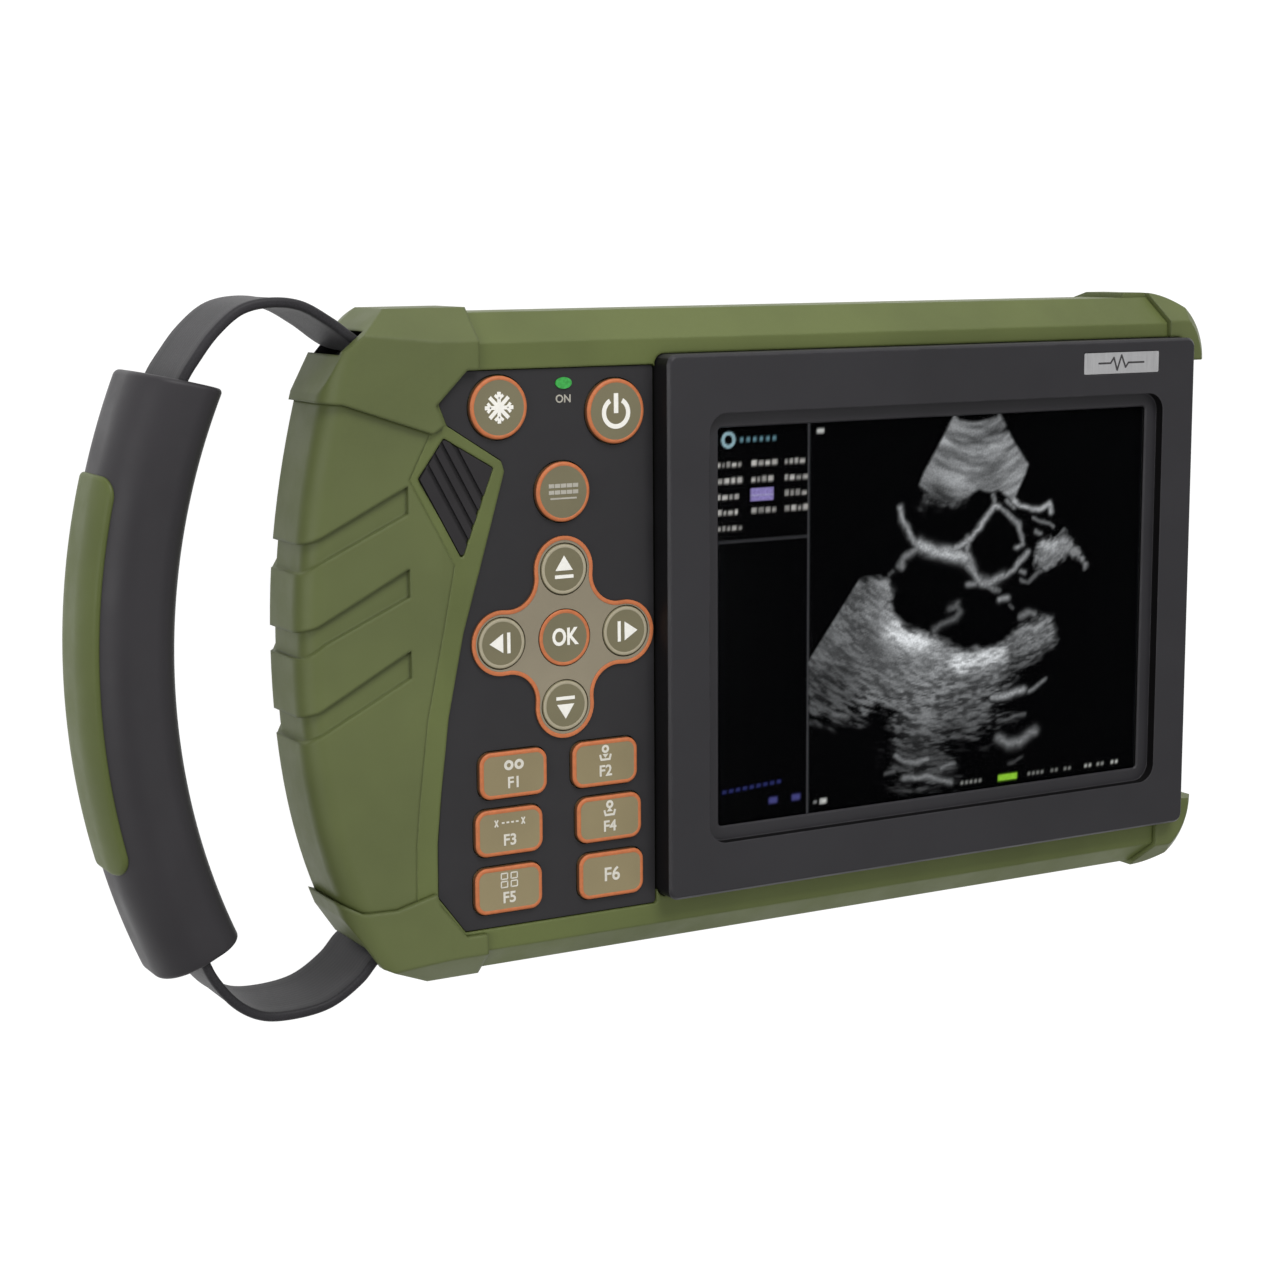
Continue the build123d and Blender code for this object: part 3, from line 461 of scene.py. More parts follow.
def add(name, verts, faces, mat, body="housing", smooth=None):
    me = bpy.data.meshes.new(name)
    me.from_pydata([tuple(v) for v in verts], [], faces)
    me.validate()
    me.update()
    o = bpy.data.objects.new(name, me)
    bpy.context.scene.collection.objects.link(o)
    me.materials.append(M[mat] if isinstance(mat, str) else mat)
    if smooth is not None:
        smooth_by_angle(o, smooth)
    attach(o, body)
    return o


class Builder:
    def __init__(self):
        self.v, self.f = [], []

    def prism(self, pts, z0, z1):
        """Closed prism of a convex or simple polygon (counter-clockwise)."""
        n, k = len(pts), len(self.v)
        self.v += [P(x, y, z0) for x, y in pts] + [P(x, y, z1) for x, y in pts]
        self.f.append([k + i for i in reversed(range(n))])
        self.f.append([k + n + i for i in range(n)])
        for i in range(n):
            j = (i + 1) % n
            self.f.append([k + i, k + j, k + n + j, k + n + i])

    def stroke(self, a, b, w, z0, z1):
        d = Vector((b[0] - a[0], b[1] - a[1]))
        d.normalize()
        nx, ny = -d.y * w / 2, d.x * w / 2
        self.prism([(a[0] - nx, a[1] - ny), (b[0] - nx, b[1] - ny), (b[0] + nx, b[1] + ny), (a[0] + nx, a[1] + ny)], z0, z1)

    def disc(self, c, r, z0, z1, n=24):
        self.prism([(c[0] + r * math.cos(2 * math.pi * i / n), c[1] + r * math.sin(2 * math.pi * i / n)) for i in range(n)], z0, z1)

    def band(self, c, r0, r1, a0, a1, z0, z1, n=48):
        """Part of a flat ring; a full ring when a1 - a0 is 360."""
        full = abs(a1 - a0 - 360) < 1e-6
        k, steps = len(self.v), n
        count = steps if full else steps + 1
        for i in range(count):
            t = math.radians(a0 + (a1 - a0) * i / steps)
            c1, s1 = math.cos(t), math.sin(t)
            self.v += [P(c[0] + r0 * c1, c[1] + r0 * s1, z0), P(c[0] + r1 * c1, c[1] + r1 * s1, z0),
                       P(c[0] + r1 * c1, c[1] + r1 * s1, z1), P(c[0] + r0 * c1, c[1] + r0 * s1, z1)]
        for i in range(steps):
            a, b = k + 4 * i, k + 4 * ((i + 1) % count)
            for j in range(4):
                self.f.append([a + j, b + j, b + (j + 1) % 4, a + (j + 1) % 4][::-1])
        if not full:
            self.f.append([k, k + 1, k + 2, k + 3][::-1])
            e = k + 4 * steps
            self.f.append([e, e + 1, e + 2, e + 3])

    def done(self, name, mat, body="housing", smooth=30):
        o = add(name, self.v, self.f, mat, body, None)
        bm = bmesh.new()
        bm.from_mesh(o.data)
        bmesh.ops.recalc_face_normals(bm, faces=bm.faces)
        bm.to_mesh(o.data)
        bm.free()
        smooth_by_angle(o, smooth)
        return o


def text_mesh(name, s, x, y, z, size_mm, mat, body, h=0.05, bold=0.0, width=1.0):
    cu = bpy.data.curves.new(name, "FONT")
    cu.body = s
    cu.size = size_mm / 1000
    cu.align_x, cu.align_y = "CENTER", "CENTER"
    cu.extrude = h / 1000 / 2
    cu.offset = bold / 1000
    cu.resolution_u = 4
    t = bpy.data.objects.new(name + "_c", cu)
    bpy.context.scene.collection.objects.link(t)
    bpy.context.view_layer.update()
    me = bpy.data.meshes.new_from_object(t.evaluated_get(bpy.context.evaluated_depsgraph_get()))
    bpy.data.objects.remove(t)
    me.transform(Matrix.Translation(P(x, y, z + h / 2)) @ Matrix.Diagonal((width, 1, 1, 1)))
    o = bpy.data.objects.new(name, me)
    bpy.context.scene.collection.objects.link(o)
    me.materials.clear()
    me.materials.append(M[mat])
    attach(o, body)
    return o


# outlines for the rims: each gives n points at an offset d outward
def circle_outline(cx, cy, r):
    return lambda d, n=72: [(cx + (r + d) * math.cos(2 * math.pi * i / n), cy + (r + d) * math.sin(2 * math.pi * i / n)) for i in range(n)]


def rrect_outline(cx, cy, w, h, r):
    def f(d, n=72):
        out = []
        for sx, sy, a in ((1, 1, 0), (-1, 1, 90), (-1, -1, 180), (1, -1, 270)):
            x, y = cx + sx * (w / 2 - r), cy + sy * (h / 2 - r)
            for i in range(n // 4):
                t = math.radians(a + 90 * i / (n // 4 - 1))
                out.append((x + (r + d) * math.cos(t), y + (r + d) * math.sin(t)))
        return out
    return f


def cross_outline(cx, cy):
    a, c, lobe, waist = 14.0, 12.34, 6.6, 5.85
    ang = math.degrees(math.atan2(c, c - a))   # direction from a lobe centre to the waist centre

    def f(d, n=0):
        out = []
        for k in range(4):
            ca, sa = math.cos(math.radians(90 * k)), math.sin(math.radians(90 * k))

            def put(x, y):
                out.append((cx + x * ca - y * sa, cy + x * sa + y * ca))
            for i in range(25):
                t = math.radians(-ang + 2 * ang * i / 24)
                put(a + (lobe + d) * math.cos(t), (lobe + d) * math.sin(t))
            b0, b1 = ang + 180, 270 - ang
            # waist arc, seen from its own centre, runs back towards the next lobe
            for i in range(1, 12):
                t = math.radians(b0 + (b1 - b0) * i / 12)
                put(c + (waist - d) * math.cos(t), c + (waist - d) * math.sin(t))
        return out
    return f


def rim(name, outline, profile, mat, body):
    """Closed ring whose section is the list of (offset, z) pairs."""
    rings = [outline(d) for d, z in profile]
    n, k = len(rings[0]), len(profile)
    v = [P(p[0], p[1], profile[j][1]) for j in range(k) for p in rings[j]]
    f = []
    for j in range(k):
        j2 = (j + 1) % k
        for i in range(n):
            i2 = (i + 1) % n
            f.append([j * n + i, j * n + i2, j2 * n + i2, j2 * n + i])
    o = add(name, v, f, mat, body, None)
    bm = bmesh.new()
    bm.from_mesh(o.data)
    bmesh.ops.remove_doubles(bm, verts=bm.verts, dist=1e-7)
    bmesh.ops.recalc_face_normals(bm, faces=bm.faces)
    bm.to_mesh(o.data)
    bm.free()
    # the crown keeps the rim's colour; the steep flanks get a darker brown-orange, which is painted shade on the side
    # walls
    o.data.materials.append(M["keyside"])
    for p in o.data.polygons:
        if abs(p.normal.z) < 0.3:
            p.material_index = 1
    smooth_by_angle(o, 40)
    return o


# ------------------------------------------------------------------ keypad
TOP, TOP2 = -4.5, -4.8
ROUND = {"freeze_key": (-105.3, 47.8, 6.2), "power_key": (-79.2, 46.1, 6.5), "mode_key": (-91.3, 30.5, 6.0)}
DC = (-91.2, 1.0)
ARROWS = {"up_key": (-91.2, 14.9, 90), "left_key": (-105.3, 1.0, 180), "right_key": (-77.2, 1.2, 0), "down_key": (-91.2, -12.9, 270)}
RECT = {"f1_key": (-103.2, -25.7), "f2_key": (-82.3, -25.7), "f3_key": (-104.3, -37.4),
        "f4_key": (-81.4, -37.4), "f5_key": (-104.6, -49.3), "f6_key": (-81.0, -49.3)}


def rim_profile(top, inner=0.8, out=0.05, f=0.5):
    pts = [(out, -5.6), (out, top - f)]
    for i in range(1, 5):
        t = math.radians(90 * i / 4)
        pts.append((out - f * (1 - math.cos(t)), top - f + (f + 0.05) * math.sin(t)))
    pts += [(-inner + 0.15, top + 0.05), (-inner, top - 0.02), (-inner, top - 0.3), (-0.62, top - 0.6), (-0.62, -5.6)]
    return pts


for k, (x, y, r) in ROUND.items():
    rim(k + "_rim", circle_outline(x, y, r), rim_profile(TOP), "orange", k + "_cap")
rim("ok_key_rim", circle_outline(*DC, 5.7), rim_profile(TOP2, 0.75, 0.04, 0.25), "orange", "ok_key_cap")
for k, (x, y) in RECT.items():
    rim(k + "_rim", rrect_outline(x, y, 15.0, 9.5, 2.5), rim_profile(TOP, 0.85, 0.05, 0.45), "orange", k + "_cap")
z = -5.0
rim("dpad_rim", cross_outline(*DC), [(0.02, -6.0), (0.02, z + 0.02), (-0.04, z + 0.10), (-0.25, z + 0.14), (-0.65, z + 0.14), (-0.82, z + 0.06), (-0.85, z - 0.1), (-0.3, -6.0)],
    "orange", "housing")
for k, (x, y, a) in ARROWS.items():
    t = TOP2
    rim(k + "_ring", circle_outline(x, y, 5.15), [(-0.12, t - 0.16), (-0.16, t - 0.02), (-0.3, t + 0.05), (-0.62, t + 0.07), (-0.78, t + 0.02), (-0.80, t - 0.1)], "ringgrey", k + "_cap")
    b = Builder()
    ca, sa = math.cos(math.radians(a)), math.sin(math.radians(a))

    def rot(px, py):
        return (x + px * ca - py * sa, y + px * sa + py * ca)
    b.prism([rot(2.75, 0), rot(-0.25, 1.95), rot(-0.25, -1.95)], t - 0.05, t + 0.07)
    b.prism([rot(-1.15, 2.1), rot(-1.85, 2.1), rot(-1.85, -2.1), rot(-1.15, -2.1)], t - 0.05, t + 0.07)
    b.done(k + "_icon", "white", k + "_cap")

# snowflake
x, y, _ = ROUND["freeze_key"]
b = Builder()
for i in range(8):
    a = math.radians(90 + 45 * i)
    ux, uy = math.cos(a), math.sin(a)
    L = 3.1 if i % 2 == 0 else 2.9
    b.stroke((x + 0.5 * ux, y + 0.5 * uy), (x + L * ux, y + L * uy), 0.78, TOP - 0.05, TOP + 0.06 + 0.001 * i)
    if i % 2 == 0:
        for s in (-1, 1):
            c, d = math.cos(a + s * 0.85), math.sin(a + s * 0.85)
            b.stroke((x + 1.7 * ux, y + 1.7 * uy), (x + 1.7 * ux + 1.2 * c, y + 1.7 * uy + 1.2 * d), 0.6, TOP - 0.05, TOP + 0.07 + 0.001 * i)
b.disc((x, y), 0.95, TOP - 0.05, TOP + 0.075)
b.done("freeze_icon", "white", "freeze_key_cap")
# power
x, y, _ = ROUND["power_key"]
b = Builder()
b.band((x, y - 0.3), 2.3, 3.25, 90 + 30, 90 + 330, TOP - 0.05, TOP + 0.06)
b.stroke((x, y - 0.4), (x, y + 3.6), 1.0, TOP - 0.05, TOP + 0.06)
b.done("power_icon", "white", "power_key_cap")
# mode: two rows of short dashes
x, y, _ = ROUND["mode_key"]
b = Builder()
for j, yy in enumerate((1.25, -0.05, -1.3)):
    w = [0.9, 0.9, 0.9, 0.9, 0.9] if j < 2 else [5.6]
    n = len(w)
    for i in range(n):
        cx = (i - (n - 1) / 2) * 1.35
        hw = w[i] / 2 + 0.15
        b.stroke((x + cx - hw, y + yy), (x + cx + hw, y + yy), 0.8 if j < 2 else 0.35, TOP - 0.05, TOP + 0.06)
b.done("mode_icon", "mutedwhite", "mode_key_cap")
text_mesh("ok_label", "OK", DC[0], DC[1], TOP2 - 0.01, 4.8, "white", "ok_key_cap", 0.08, 0.13, 0.82)
text_mesh("power_light_label", "ON", -90.6, 48.9, -5.5, 2.2, "mutedwhite", "housing", 0.03, 0.04)


def tray_icon(b, x, y, up):
    b.band((x, y + 0.95), 0.35, 0.85, 0, 360, TOP - 0.05, TOP + 0.06, 20)
    b.stroke((x - 1.25, y - 0.2), (x - 0.95, y - 1.3), 0.45, TOP - 0.05, TOP + 0.06)
    b.stroke((x + 1.25, y - 0.2), (x + 0.95, y - 1.3), 0.45, TOP - 0.05, TOP + 0.061)
    b.stroke((x - 1.15, y - 1.25), (x + 1.15, y - 1.25), 0.45, TOP - 0.05, TOP + 0.062)
    if up:
        b.prism([(x - 0.7, y - 0.55), (x + 0.7, y - 0.55), (x, y + 0.25)], TOP - 0.05, TOP + 0.063)
    else:
        b.prism([(x - 0.7, y - 0.1), (x, y - 0.9), (x + 0.7, y - 0.1)], TOP - 0.05, TOP + 0.063)


for k, (x, y) in RECT.items():
    b = Builder()
    yi = y + 1.95
    z0, z1 = TOP - 0.05, TOP + 0.06
    if k == "f1_key":
        for s in (-1.15, 1.15):
            b.band((x + s, yi), 0.45, 1.05, 0, 360, z0, z1, 20)
    elif k == "f2_key":
        tray_icon(b, x, yi, False)
    elif k == "f4_key":
        tray_icon(b, x, yi, True)
    elif k == "f3_key":
        for s in (-1, 1):
            b.stroke((x + s * 3.0 - 0.35, yi + 0.7), (x + s * 3.0 + 0.35, yi - 0.7), 0.3, z0, z1)
            b.stroke((x + s * 3.0 + 0.35, yi + 0.7), (x + s * 3.0 - 0.35, yi - 0.7), 0.3, z0, z1 + 0.001)
        for i in range(4):
            b.stroke((x - 1.8 + i * 1.05, yi), (x - 1.2 + i * 1.05, yi), 0.35, z0, z1)
    elif k == "f5_key":
        for sx in (-1.1, 1.1):
            for sy in (-0.85, 0.85):
                for p, q2 in (((-.7, -.6), (.7, -.6)), ((.7, -.6), (.7, .6)), ((.7, .6), (-.7, .6)), ((-.7, .6), (-.7, -.6))):
                    b.stroke((x + sx + p[0], yi + sy + p[1]), (x + sx + q2[0], yi + sy + q2[1]), 0.26, z0, z1 + 0.001 * (p[0] > 0))
    if b.v:
        b.done(k + "_icon", "labelgrey", k + "_cap")
    big = k == "f6_key"
    text_mesh(k + "_label", k[:2].upper(), x, y - (0.1 if big else 1.75), TOP - 0.01, 4.0 if big else 3.2, "labelgrey", k + "_cap", 0.08, 0.07)

# ------------------------------------------------------------------ badge: brushed plate with a pulse mark
b = Builder()
bx, by = (36.9 + 58.3) / 2, (49.8 + 54.5) / 2
pts = [(-6.5, 0), (-3.2, 0), (-2.3, 1.2), (-1.3, -1.6), (-0.1, 1.7), (1.1, -1.0), (1.9, 0), (6.5, 0)]
for i in range(len(pts) - 1):
    b.stroke((bx + pts[i][0], by + pts[i][1]), (bx + pts[i + 1][0], by + pts[i + 1][1]), 0.42, -0.02, 0.03 + 0.0005 * i)
    b.disc((bx + pts[i][0], by + pts[i][1]), 0.21, -0.02, 0.0305 + 0.0005 * i, 12)
M["pulse"] = printed("badge_ink", lin(52, 50, 52), 0.5)
b.done("badge_pulse", "pulse", "housing")

# ------------------------------------------------------------------ display picture
W2, H2 = 112.9 / 2, 84.7 / 2


def sstep(a, b, x):
    t = np.clip((x - a) / (b - a), 0, 1)
    return t * t * (3 - 2 * t)


def value_noise(X, Y, size, seed):
    """Smooth seeded noise in 0..1."""
    rs = np.random.RandomState(seed)
    g = rs.rand(256, 256)
    u, v = X / size, Y / size
    i, j = np.floor(u).astype(int), np.floor(v).astype(int)
    fx, fy = u - i, v - j
    fx, fy = fx * fx * (3 - 2 * fx), fy * fy * (3 - 2 * fy)
    a, b_, c, d = g[i % 256, j % 256], g[(i + 1) % 256, j % 256], g[i % 256, (j + 1) % 256], g[(i + 1) % 256, (j + 1) % 256]
    return (a * (1 - fx) + b_ * fx) * (1 - fy) + (c * (1 - fx) + d * fx) * fy


def seg_dist(X, Y, pts):
    d = np.full(X.shape, 1e9)
    for (x0, y0), (x1, y1) in zip(pts[:-1], pts[1:]):
        dx, dy = x1 - x0, y1 - y0
        t = np.clip(((X - x0) * dx + (Y - y0) * dy) / (dx * dx + dy * dy + 1e-9), 0, 1)
        d = np.minimum(d, np.hypot(X - x0 - t * dx, Y - y0 - t * dy))
    return d


def inside(X, Y, poly):
    r = np.zeros(X.shape, bool)
    n = len(poly)
    for i in range(n):
        x0, y0 = poly[i]
        x1, y1 = poly[(i + 1) % n]
        c = ((y0 > Y) != (y1 > Y)) & (X < (x1 - x0) * (Y - y0) / (y1 - y0 + 1e-12) + x0)
        r ^= c
    return r


def soft_poly(X, Y, poly, w):
    """1 inside, 0 outside, with an edge w wide."""
    d = seg_dist(X, Y, list(poly) + [poly[0]])
    s = np.where(inside(X, Y, poly), d, -d)
    return sstep(-w, w, s)


def ragged_poly(X, Y, poly, w, amp, noise_):
    """As soft_poly, with its edge pushed in and out by a noise field."""
    d = seg_dist(X, Y, list(poly) + [poly[0]])
    s = np.where(inside(X, Y, poly), d, -d) + (noise_ - 0.5) * amp
    return np.clip((s + w) / (2 * w), 0, 1) ** 1.3


step = 0.34
nx, ny = int(round(2 * W2 / step)), int(round(2 * H2 / step))
gx, gy = np.linspace(-W2, W2, nx + 1), np.linspace(-H2, H2, ny + 1)
X, Y = np.meshgrid(gx, gy)
# fan coordinates: range and bearing from the probe's apex
AX, AY = 10.6, 51.0
rng = np.hypot(X - AX, Y - AY)
bear = np.degrees(np.arctan2(X - AX, AY - Y))
wob = (value_noise(X, Y, 3.0, 3) - 0.5) * 1.6 + (value_noise(X, Y, 1.2, 4) - 0.5) * 0.9
Xw, Yw = X + wob, Y + (value_noise(X, Y, 2.2, 5) - 0.5) * 1.4
lines = value_noise(bear * 1.3, rng * 2.6, 1.0, 7) * 0.6 + value_noise(bear * 3.1, rng * 6.0, 1.0, 8) * 0.4
speck = value_noise(bear * 2.2, rng * 3.4, 1.0, 9) * 0.5 + value_noise(bear * 5.0, rng * 8.5, 1.0, 10) * 0.5
G = np.zeros(X.shape)
# near-field wedge under the probe
wedge = [(4.0, 42.2), (5.5, 41.0), (8.0, 40.4), (10.5, 40.3), (13.0, 40.7), (15.5, 41.3), (16.3, 42.2), (20.0, 36.2), (24.6, 30.2), (23.8, 28.0), (22.3, 25.5),
         (21.2, 23.4), (20.2, 22.2), (18.8, 23.2), (17.4, 24.4), (16.2, 25.0), (14.6, 24.4), (12.6, 24.9), (11.0, 25.4), (9.4, 24.6), (7.6, 23.4), (4.5, 22.0), (1.0, 22.4),
         (-2.2, 23.0), (-4.6, 21.8), (-3.8, 24.2), (-3.2, 25.6), (-5.2, 27.2), (-3.9, 30.0), (0.0, 35.8)]
# streaks that follow the arcs of equal depth
along = value_noise(bear * 0.42, rng * 1.3, 1.0, 15) * 0.5 + value_noise(bear * 1.0, rng * 2.6, 1.0, 16) * 0.5
along = 0.5 + (sstep(0.22, 0.78, along) - 0.5) * 0.86
near = sstep(0.2, 0.8, value_noise(X * 0.20, rng * 1.0, 1.0, 21) * 0.7 + value_noise(X * 0.55, rng * 1.9, 1.0, 22) * 0.3)
coarse = value_noise(bear * 0.45, rng * 0.7, 1.0, 17) * 0.5 + along * 0.5
arcs = 0.5 + 0.5 * np.sin((rng + 0.04 * (X - AX)) * 2 * math.pi / 3.3 + 0.9)
shallow = sstep(19.0, 27.5, Y + 0.18 * X)
m1 = ragged_poly(X, Y, wedge, 0.4 + 1.3 * (1 - shallow), 0.2 + 3.6 * (1 - shallow), coarse)
tone1 = 0.34 + 0.16 * np.exp(-(np.hypot((X - 5.5) / 4.5, (Y - 28.2) / 2.6)) ** 2) + 0.12 * np.exp(-((rng - (AY - 33.8)) / 1.1) ** 2)
tone1 = tone1 + 0.10 * np.exp(-(np.hypot(X - 20.5, Y - 27.5) / 4.0) ** 2) - 0.16 * np.exp(-((Y - 37.2 - 0.018 * (X - 10) ** 2) / 0.9) ** 2)
tone1 = tone1 - 0.14 * np.exp(-(np.hypot((X - 0.0) / 5.0, (Y - 25.0) / 3.0)) ** 2)
G = np.maximum(G, m1 * (tone1 + 0.10 * (arcs - 0.5) * sstep(25, 12, rng) + 0.24 * (near - 0.5) + 0.07 * (speck - 0.5)) * (0.42 + 0.58 * sstep(21.0, 27.0, Y + 0.1 * X)))
# deep bright tissue, its left side cut by the fan's edge
deep = [(-20.8, 7.6), (-18.5, 7.9), (-15.0, 7.7), (-13.0, 7.4), (-11.8, 5.5), (-11.0, 3.6), (-12.4, 2.2), (-12.0, 0.4), (-10.0, -2.0), (-7.0, -4.0), (-4.0, -5.0), (-1.0, -5.6),
        (2.0, -7.2), (5.0, -9.3), (8.0, -10.0), (12.0, -9.8), (17.0, -9.4), (20.0, -7.8), (23.0, -5.6), (26.0, -4.8), (29.0, -4.2), (32.0, -4.6), (33.3, -7.0), (34.0, -9.5),
        (32.5, -11.5), (29.0, -12.8), (26.0, -13.8), (23.5, -15.5), (22.0, -18.0), (19.0, -20.0), (15.0, -22.0), (17.0, -25.0), (19.0, -28.5), (13.0, -30.0), (5.0, -30.4),
        (4.0, -33.0), (5.0, -36.5), (5.0, -39.4), (0.0, -38.8), (-8.5, -37.8), (-11.5, -35.0), (-12.0, -30.0), (-10.5, -26.5), (-11.5, -22.0), (-15.0, -20.0), (-20.0, -21.0),
        (-26.0, -23.0), (-32.0, -21.0), (-38.0, -18.0), (-38.0, 0.0), (-33.0, 7.6)]
low = sstep(-10, -24, Y)
m2 = ragged_poly(Xw * 0.6 + X * 0.4, Yw * 0.6 + Y * 0.4, deep, 0.9 + 1.6 * low, 1.0 + 7.5 * low, coarse) * sstep(-33.6, -33.2, X)
m2 = m2 * sstep(-0.3, 0.6, (X + 20.9) - (Y - 7.6) * 0.776)
body_tone = 0.30 + 0.58 * np.exp(-(seg_dist(X, Y, [(-11.5, -4.2), (-8.0, -6.4), (-3.5, -7.2)]) / 2.7) ** 2)
body_tone += 0.62 * np.exp(-(seg_dist(X, Y, [(6.6, -13.2), (11.0, -12.2), (17.5, -12.0)]) / 2.2) ** 2)
body_tone += 0.20 * np.exp(-(seg_dist(X, Y, [(-13.6, 6.0), (-13.4, 1.0), (-12.0, -3.0), (0.0, -9.6), (6.0, -12.4)]) / 2.6) ** 2)
body_tone += 0.22 * np.exp(-(np.hypot(X + 18.0, Y - 0.8) / 1.8) ** 2) + 0.16 * np.exp(-(np.hypot((X - 27.5) / 5.0, (Y + 7.4) / 2.6)) ** 2)
body_tone += 0.14 * np.exp(-(np.hypot((X + 2.0) / 9.0, (Y + 15.0) / 6.0)) ** 2) + 0.10 * np.exp(-(np.hypot((X + 4.0) / 5.0, (Y + 25.0) / 4.0)) ** 2)
body_tone *= 1 - 0.56 * sstep(-16, -34, Y)
body_tone *= 1 - 0.45 * sstep(-16, -26, X) * sstep(-6, -14, Y)
body_tone *= 1 - 0.45 * soft_poly(Xw, Yw, [(21, -12), (26, -14), (24, -18), (18, -18.5)], 1.6)
rk = np.clip(sstep(-8, -22, Y) * 0.7 + sstep(-14, -22, X) * 0.35 + sstep(18, 24, X) * 0.3, 0, 1)
tex = (0.80 + 0.30 * (speck - 0.5)) * (1 - rk) + rk * (0.16 + 1.25 * along) + 0.42 * (along - 0.5) * (1 - rk)
G = np.maximum(G, m2 * body_tone * np.clip(tex, 0.02, 2))
# walls of the fluid-filled rounds, and the loose bright pieces
WALLS = [([(-10.0, 22.6), (-9.3, 20.0), (-8.3, 17.5), (-6.5, 15.0), (-4.0, 13.8)], 0.85, 0.50),
         ([(-5.0, 14.2), (-2.5, 13.2), (0.5, 12.4), (3.0, 11.8), (5.6, 11.2), (7.4, 10.4)], 1.35, 0.66),
         ([(5.0, 12.8), (7.5, 14.0), (9.3, 14.8), (11.5, 17.0), (13.5, 19.3), (15.2, 21.3), (16.8, 21.2)], 0.72, 0.55),
         ([(15.2, 21.3), (15.2, 24.2)], 0.55, 0.35), ([(8.2, 14.6), (8.2, 11.4), (9.6, 8.6), (11.0, 6.0)], 0.95, 0.42),
         ([(8.4, 9.2), (10.4, 6.4), (12.6, 4.8), (15.0, 4.4), (17.8, 5.8)], 1.1, 0.46), ([(8.2, 4.6), (10.6, 4.6)], 0.7, 0.38), ([(13.0, 4.0), (17.0, 2.6)], 0.6, 0.30),
         ([(16.8, 21.2), (19.6, 18.9), (21.8, 17.2), (23.1, 14.6), (23.5, 12.6), (22.0, 11.8)], 0.62, 0.40),
         ([(24.8, 10.6), (22.4, 8.8), (20.6, 6.8), (18.4, 5.4)], 0.68, 0.44),
         ([(20.4, 22.8), (22.8, 21.2), (25.4, 20.2), (28.0, 20.2), (30.4, 21.4), (31.0, 19.4)], 0.62, 0.62),
         ([(18.8, 22.8), (21.0, 20.8)], 0.6, 0.34), ([(26.2, 18.1), (28.8, 17.4), (30.6, 16.8), (31.8, 15.8)], 0.5, 0.30), ([(27.2, 14.8), (28.0, 14.6)], 0.65, 0.34),
         ([(-6.0, 13.2), (-8.6, 11.8), (-9.8, 9.8)], 0.8, 0.32), ([(-12.6, 8.4), (-11.6, 8.8)], 0.5, 0.18),
         ([(22.8, 6.6), (24.2, 6.2)], 0.6, 0.30), ([(23.0, 4.4), (25.4, 3.8), (28.6, 6.0)], 0.55, 0.26),
         ([(17.2, 0.5), (19.4, 0.9)], 0.7, 0.46), ([(20.0, -0.8), (20.8, -1.8)], 0.45, 0.18), ([(23.0, -4.0), (25.6, -2.8), (27.0, -3.4)], 0.8, 0.28),
         ([(3.4, -0.3), (5.8, 0.2), (6.4, -1.6), (5.0, -3.0), (1.6, -3.8), (-0.6, -4.8)], 0.9, 0.22),
         ([(15.8, -21.6), (20.5, -21.3), (24.4, -20.4)], 0.85, 0.52), ([(26.0, -21.0), (30.6, -18.9)], 0.6, 0.36), ([(17.0, -26.9), (24.6, -26.4)], 0.6, 0.20),
         ([(17.6, -31.0), (20.4, -32.8), (23.4, -32.6), (25.6, -31.0), (27.6, -30.4)], 1.15, 0.34), ([(-27.0, -21.0), (-23.6, -22.0)], 0.9, 0.26),
         ([(-10.6, -31.8), (-6.6, -34.2), (-2.0, -33.6)], 0.75, 0.34), ([(-8.5, -37.2), (-2.0, -37.6), (4.6, -39.6)], 0.75, 0.36), ([(1.2, -36.0), (5.0, -35.5)], 0.6, 0.30),
         ([(-13.2, -35.6), (-11.0, -35.5)], 0.5, 0.20), ([(-17.8, -18.0), (-14.6, -19.6)], 0.5, 0.24), ([(20.5, -37.0), (24.5, -36.0)], 0.5, 0.12)]
for pts, w, amp in WALLS:
    d = seg_dist(Xw * 0.55 + X * 0.45, Yw * 0.55 + Y * 0.45, pts)
    G = np.maximum(G, amp * np.exp(-(d / w) ** 2) * (0.52 + 0.5 * speck + 0.35 * coarse))
blob = ragged_poly(Xw * 0.5 + X * 0.5, Yw * 0.5 + Y * 0.5, [(26.8, 9.5), (27.8, 12.0), (29.5, 13.0), (33.0, 13.6), (35.0, 15.2), (37.0, 13.0), (39.4, 9.8), (42.2, 6.4), (41.2, 5.4), (38.8, 8.2),
                   (36.5, 8.8), (34.0, 7.8), (31.5, 6.6), (29.5, 5.6), (27.4, 6.8)], 0.7, 1.4, coarse)
G = np.maximum(G, blob * (0.30 + 0.22 * along + 0.12 * speck) * (0.7 + 0.55 * np.exp(-(np.hypot((X - 31.5) / 3.4, (Y - 12.0) / 1.8)) ** 2)))
G = np.clip(G, 0, 1)
RGB = np.stack([G * 0.97, G * 0.98, G], -1)


def paint(mask, rgb):
    for c in range(3):
        RGB[..., c] = np.maximum(RGB[..., c] * 1.0, mask * rgb[c])


def bar(x0, x1, y0, y1, soft=0.28):
    return sstep(x0 - soft, x0 + soft, X) * sstep(x1 + soft, x1 - soft, X) * sstep(y0 - soft, y0 + soft, Y) * sstep(y1 + soft, y1 - soft, Y)


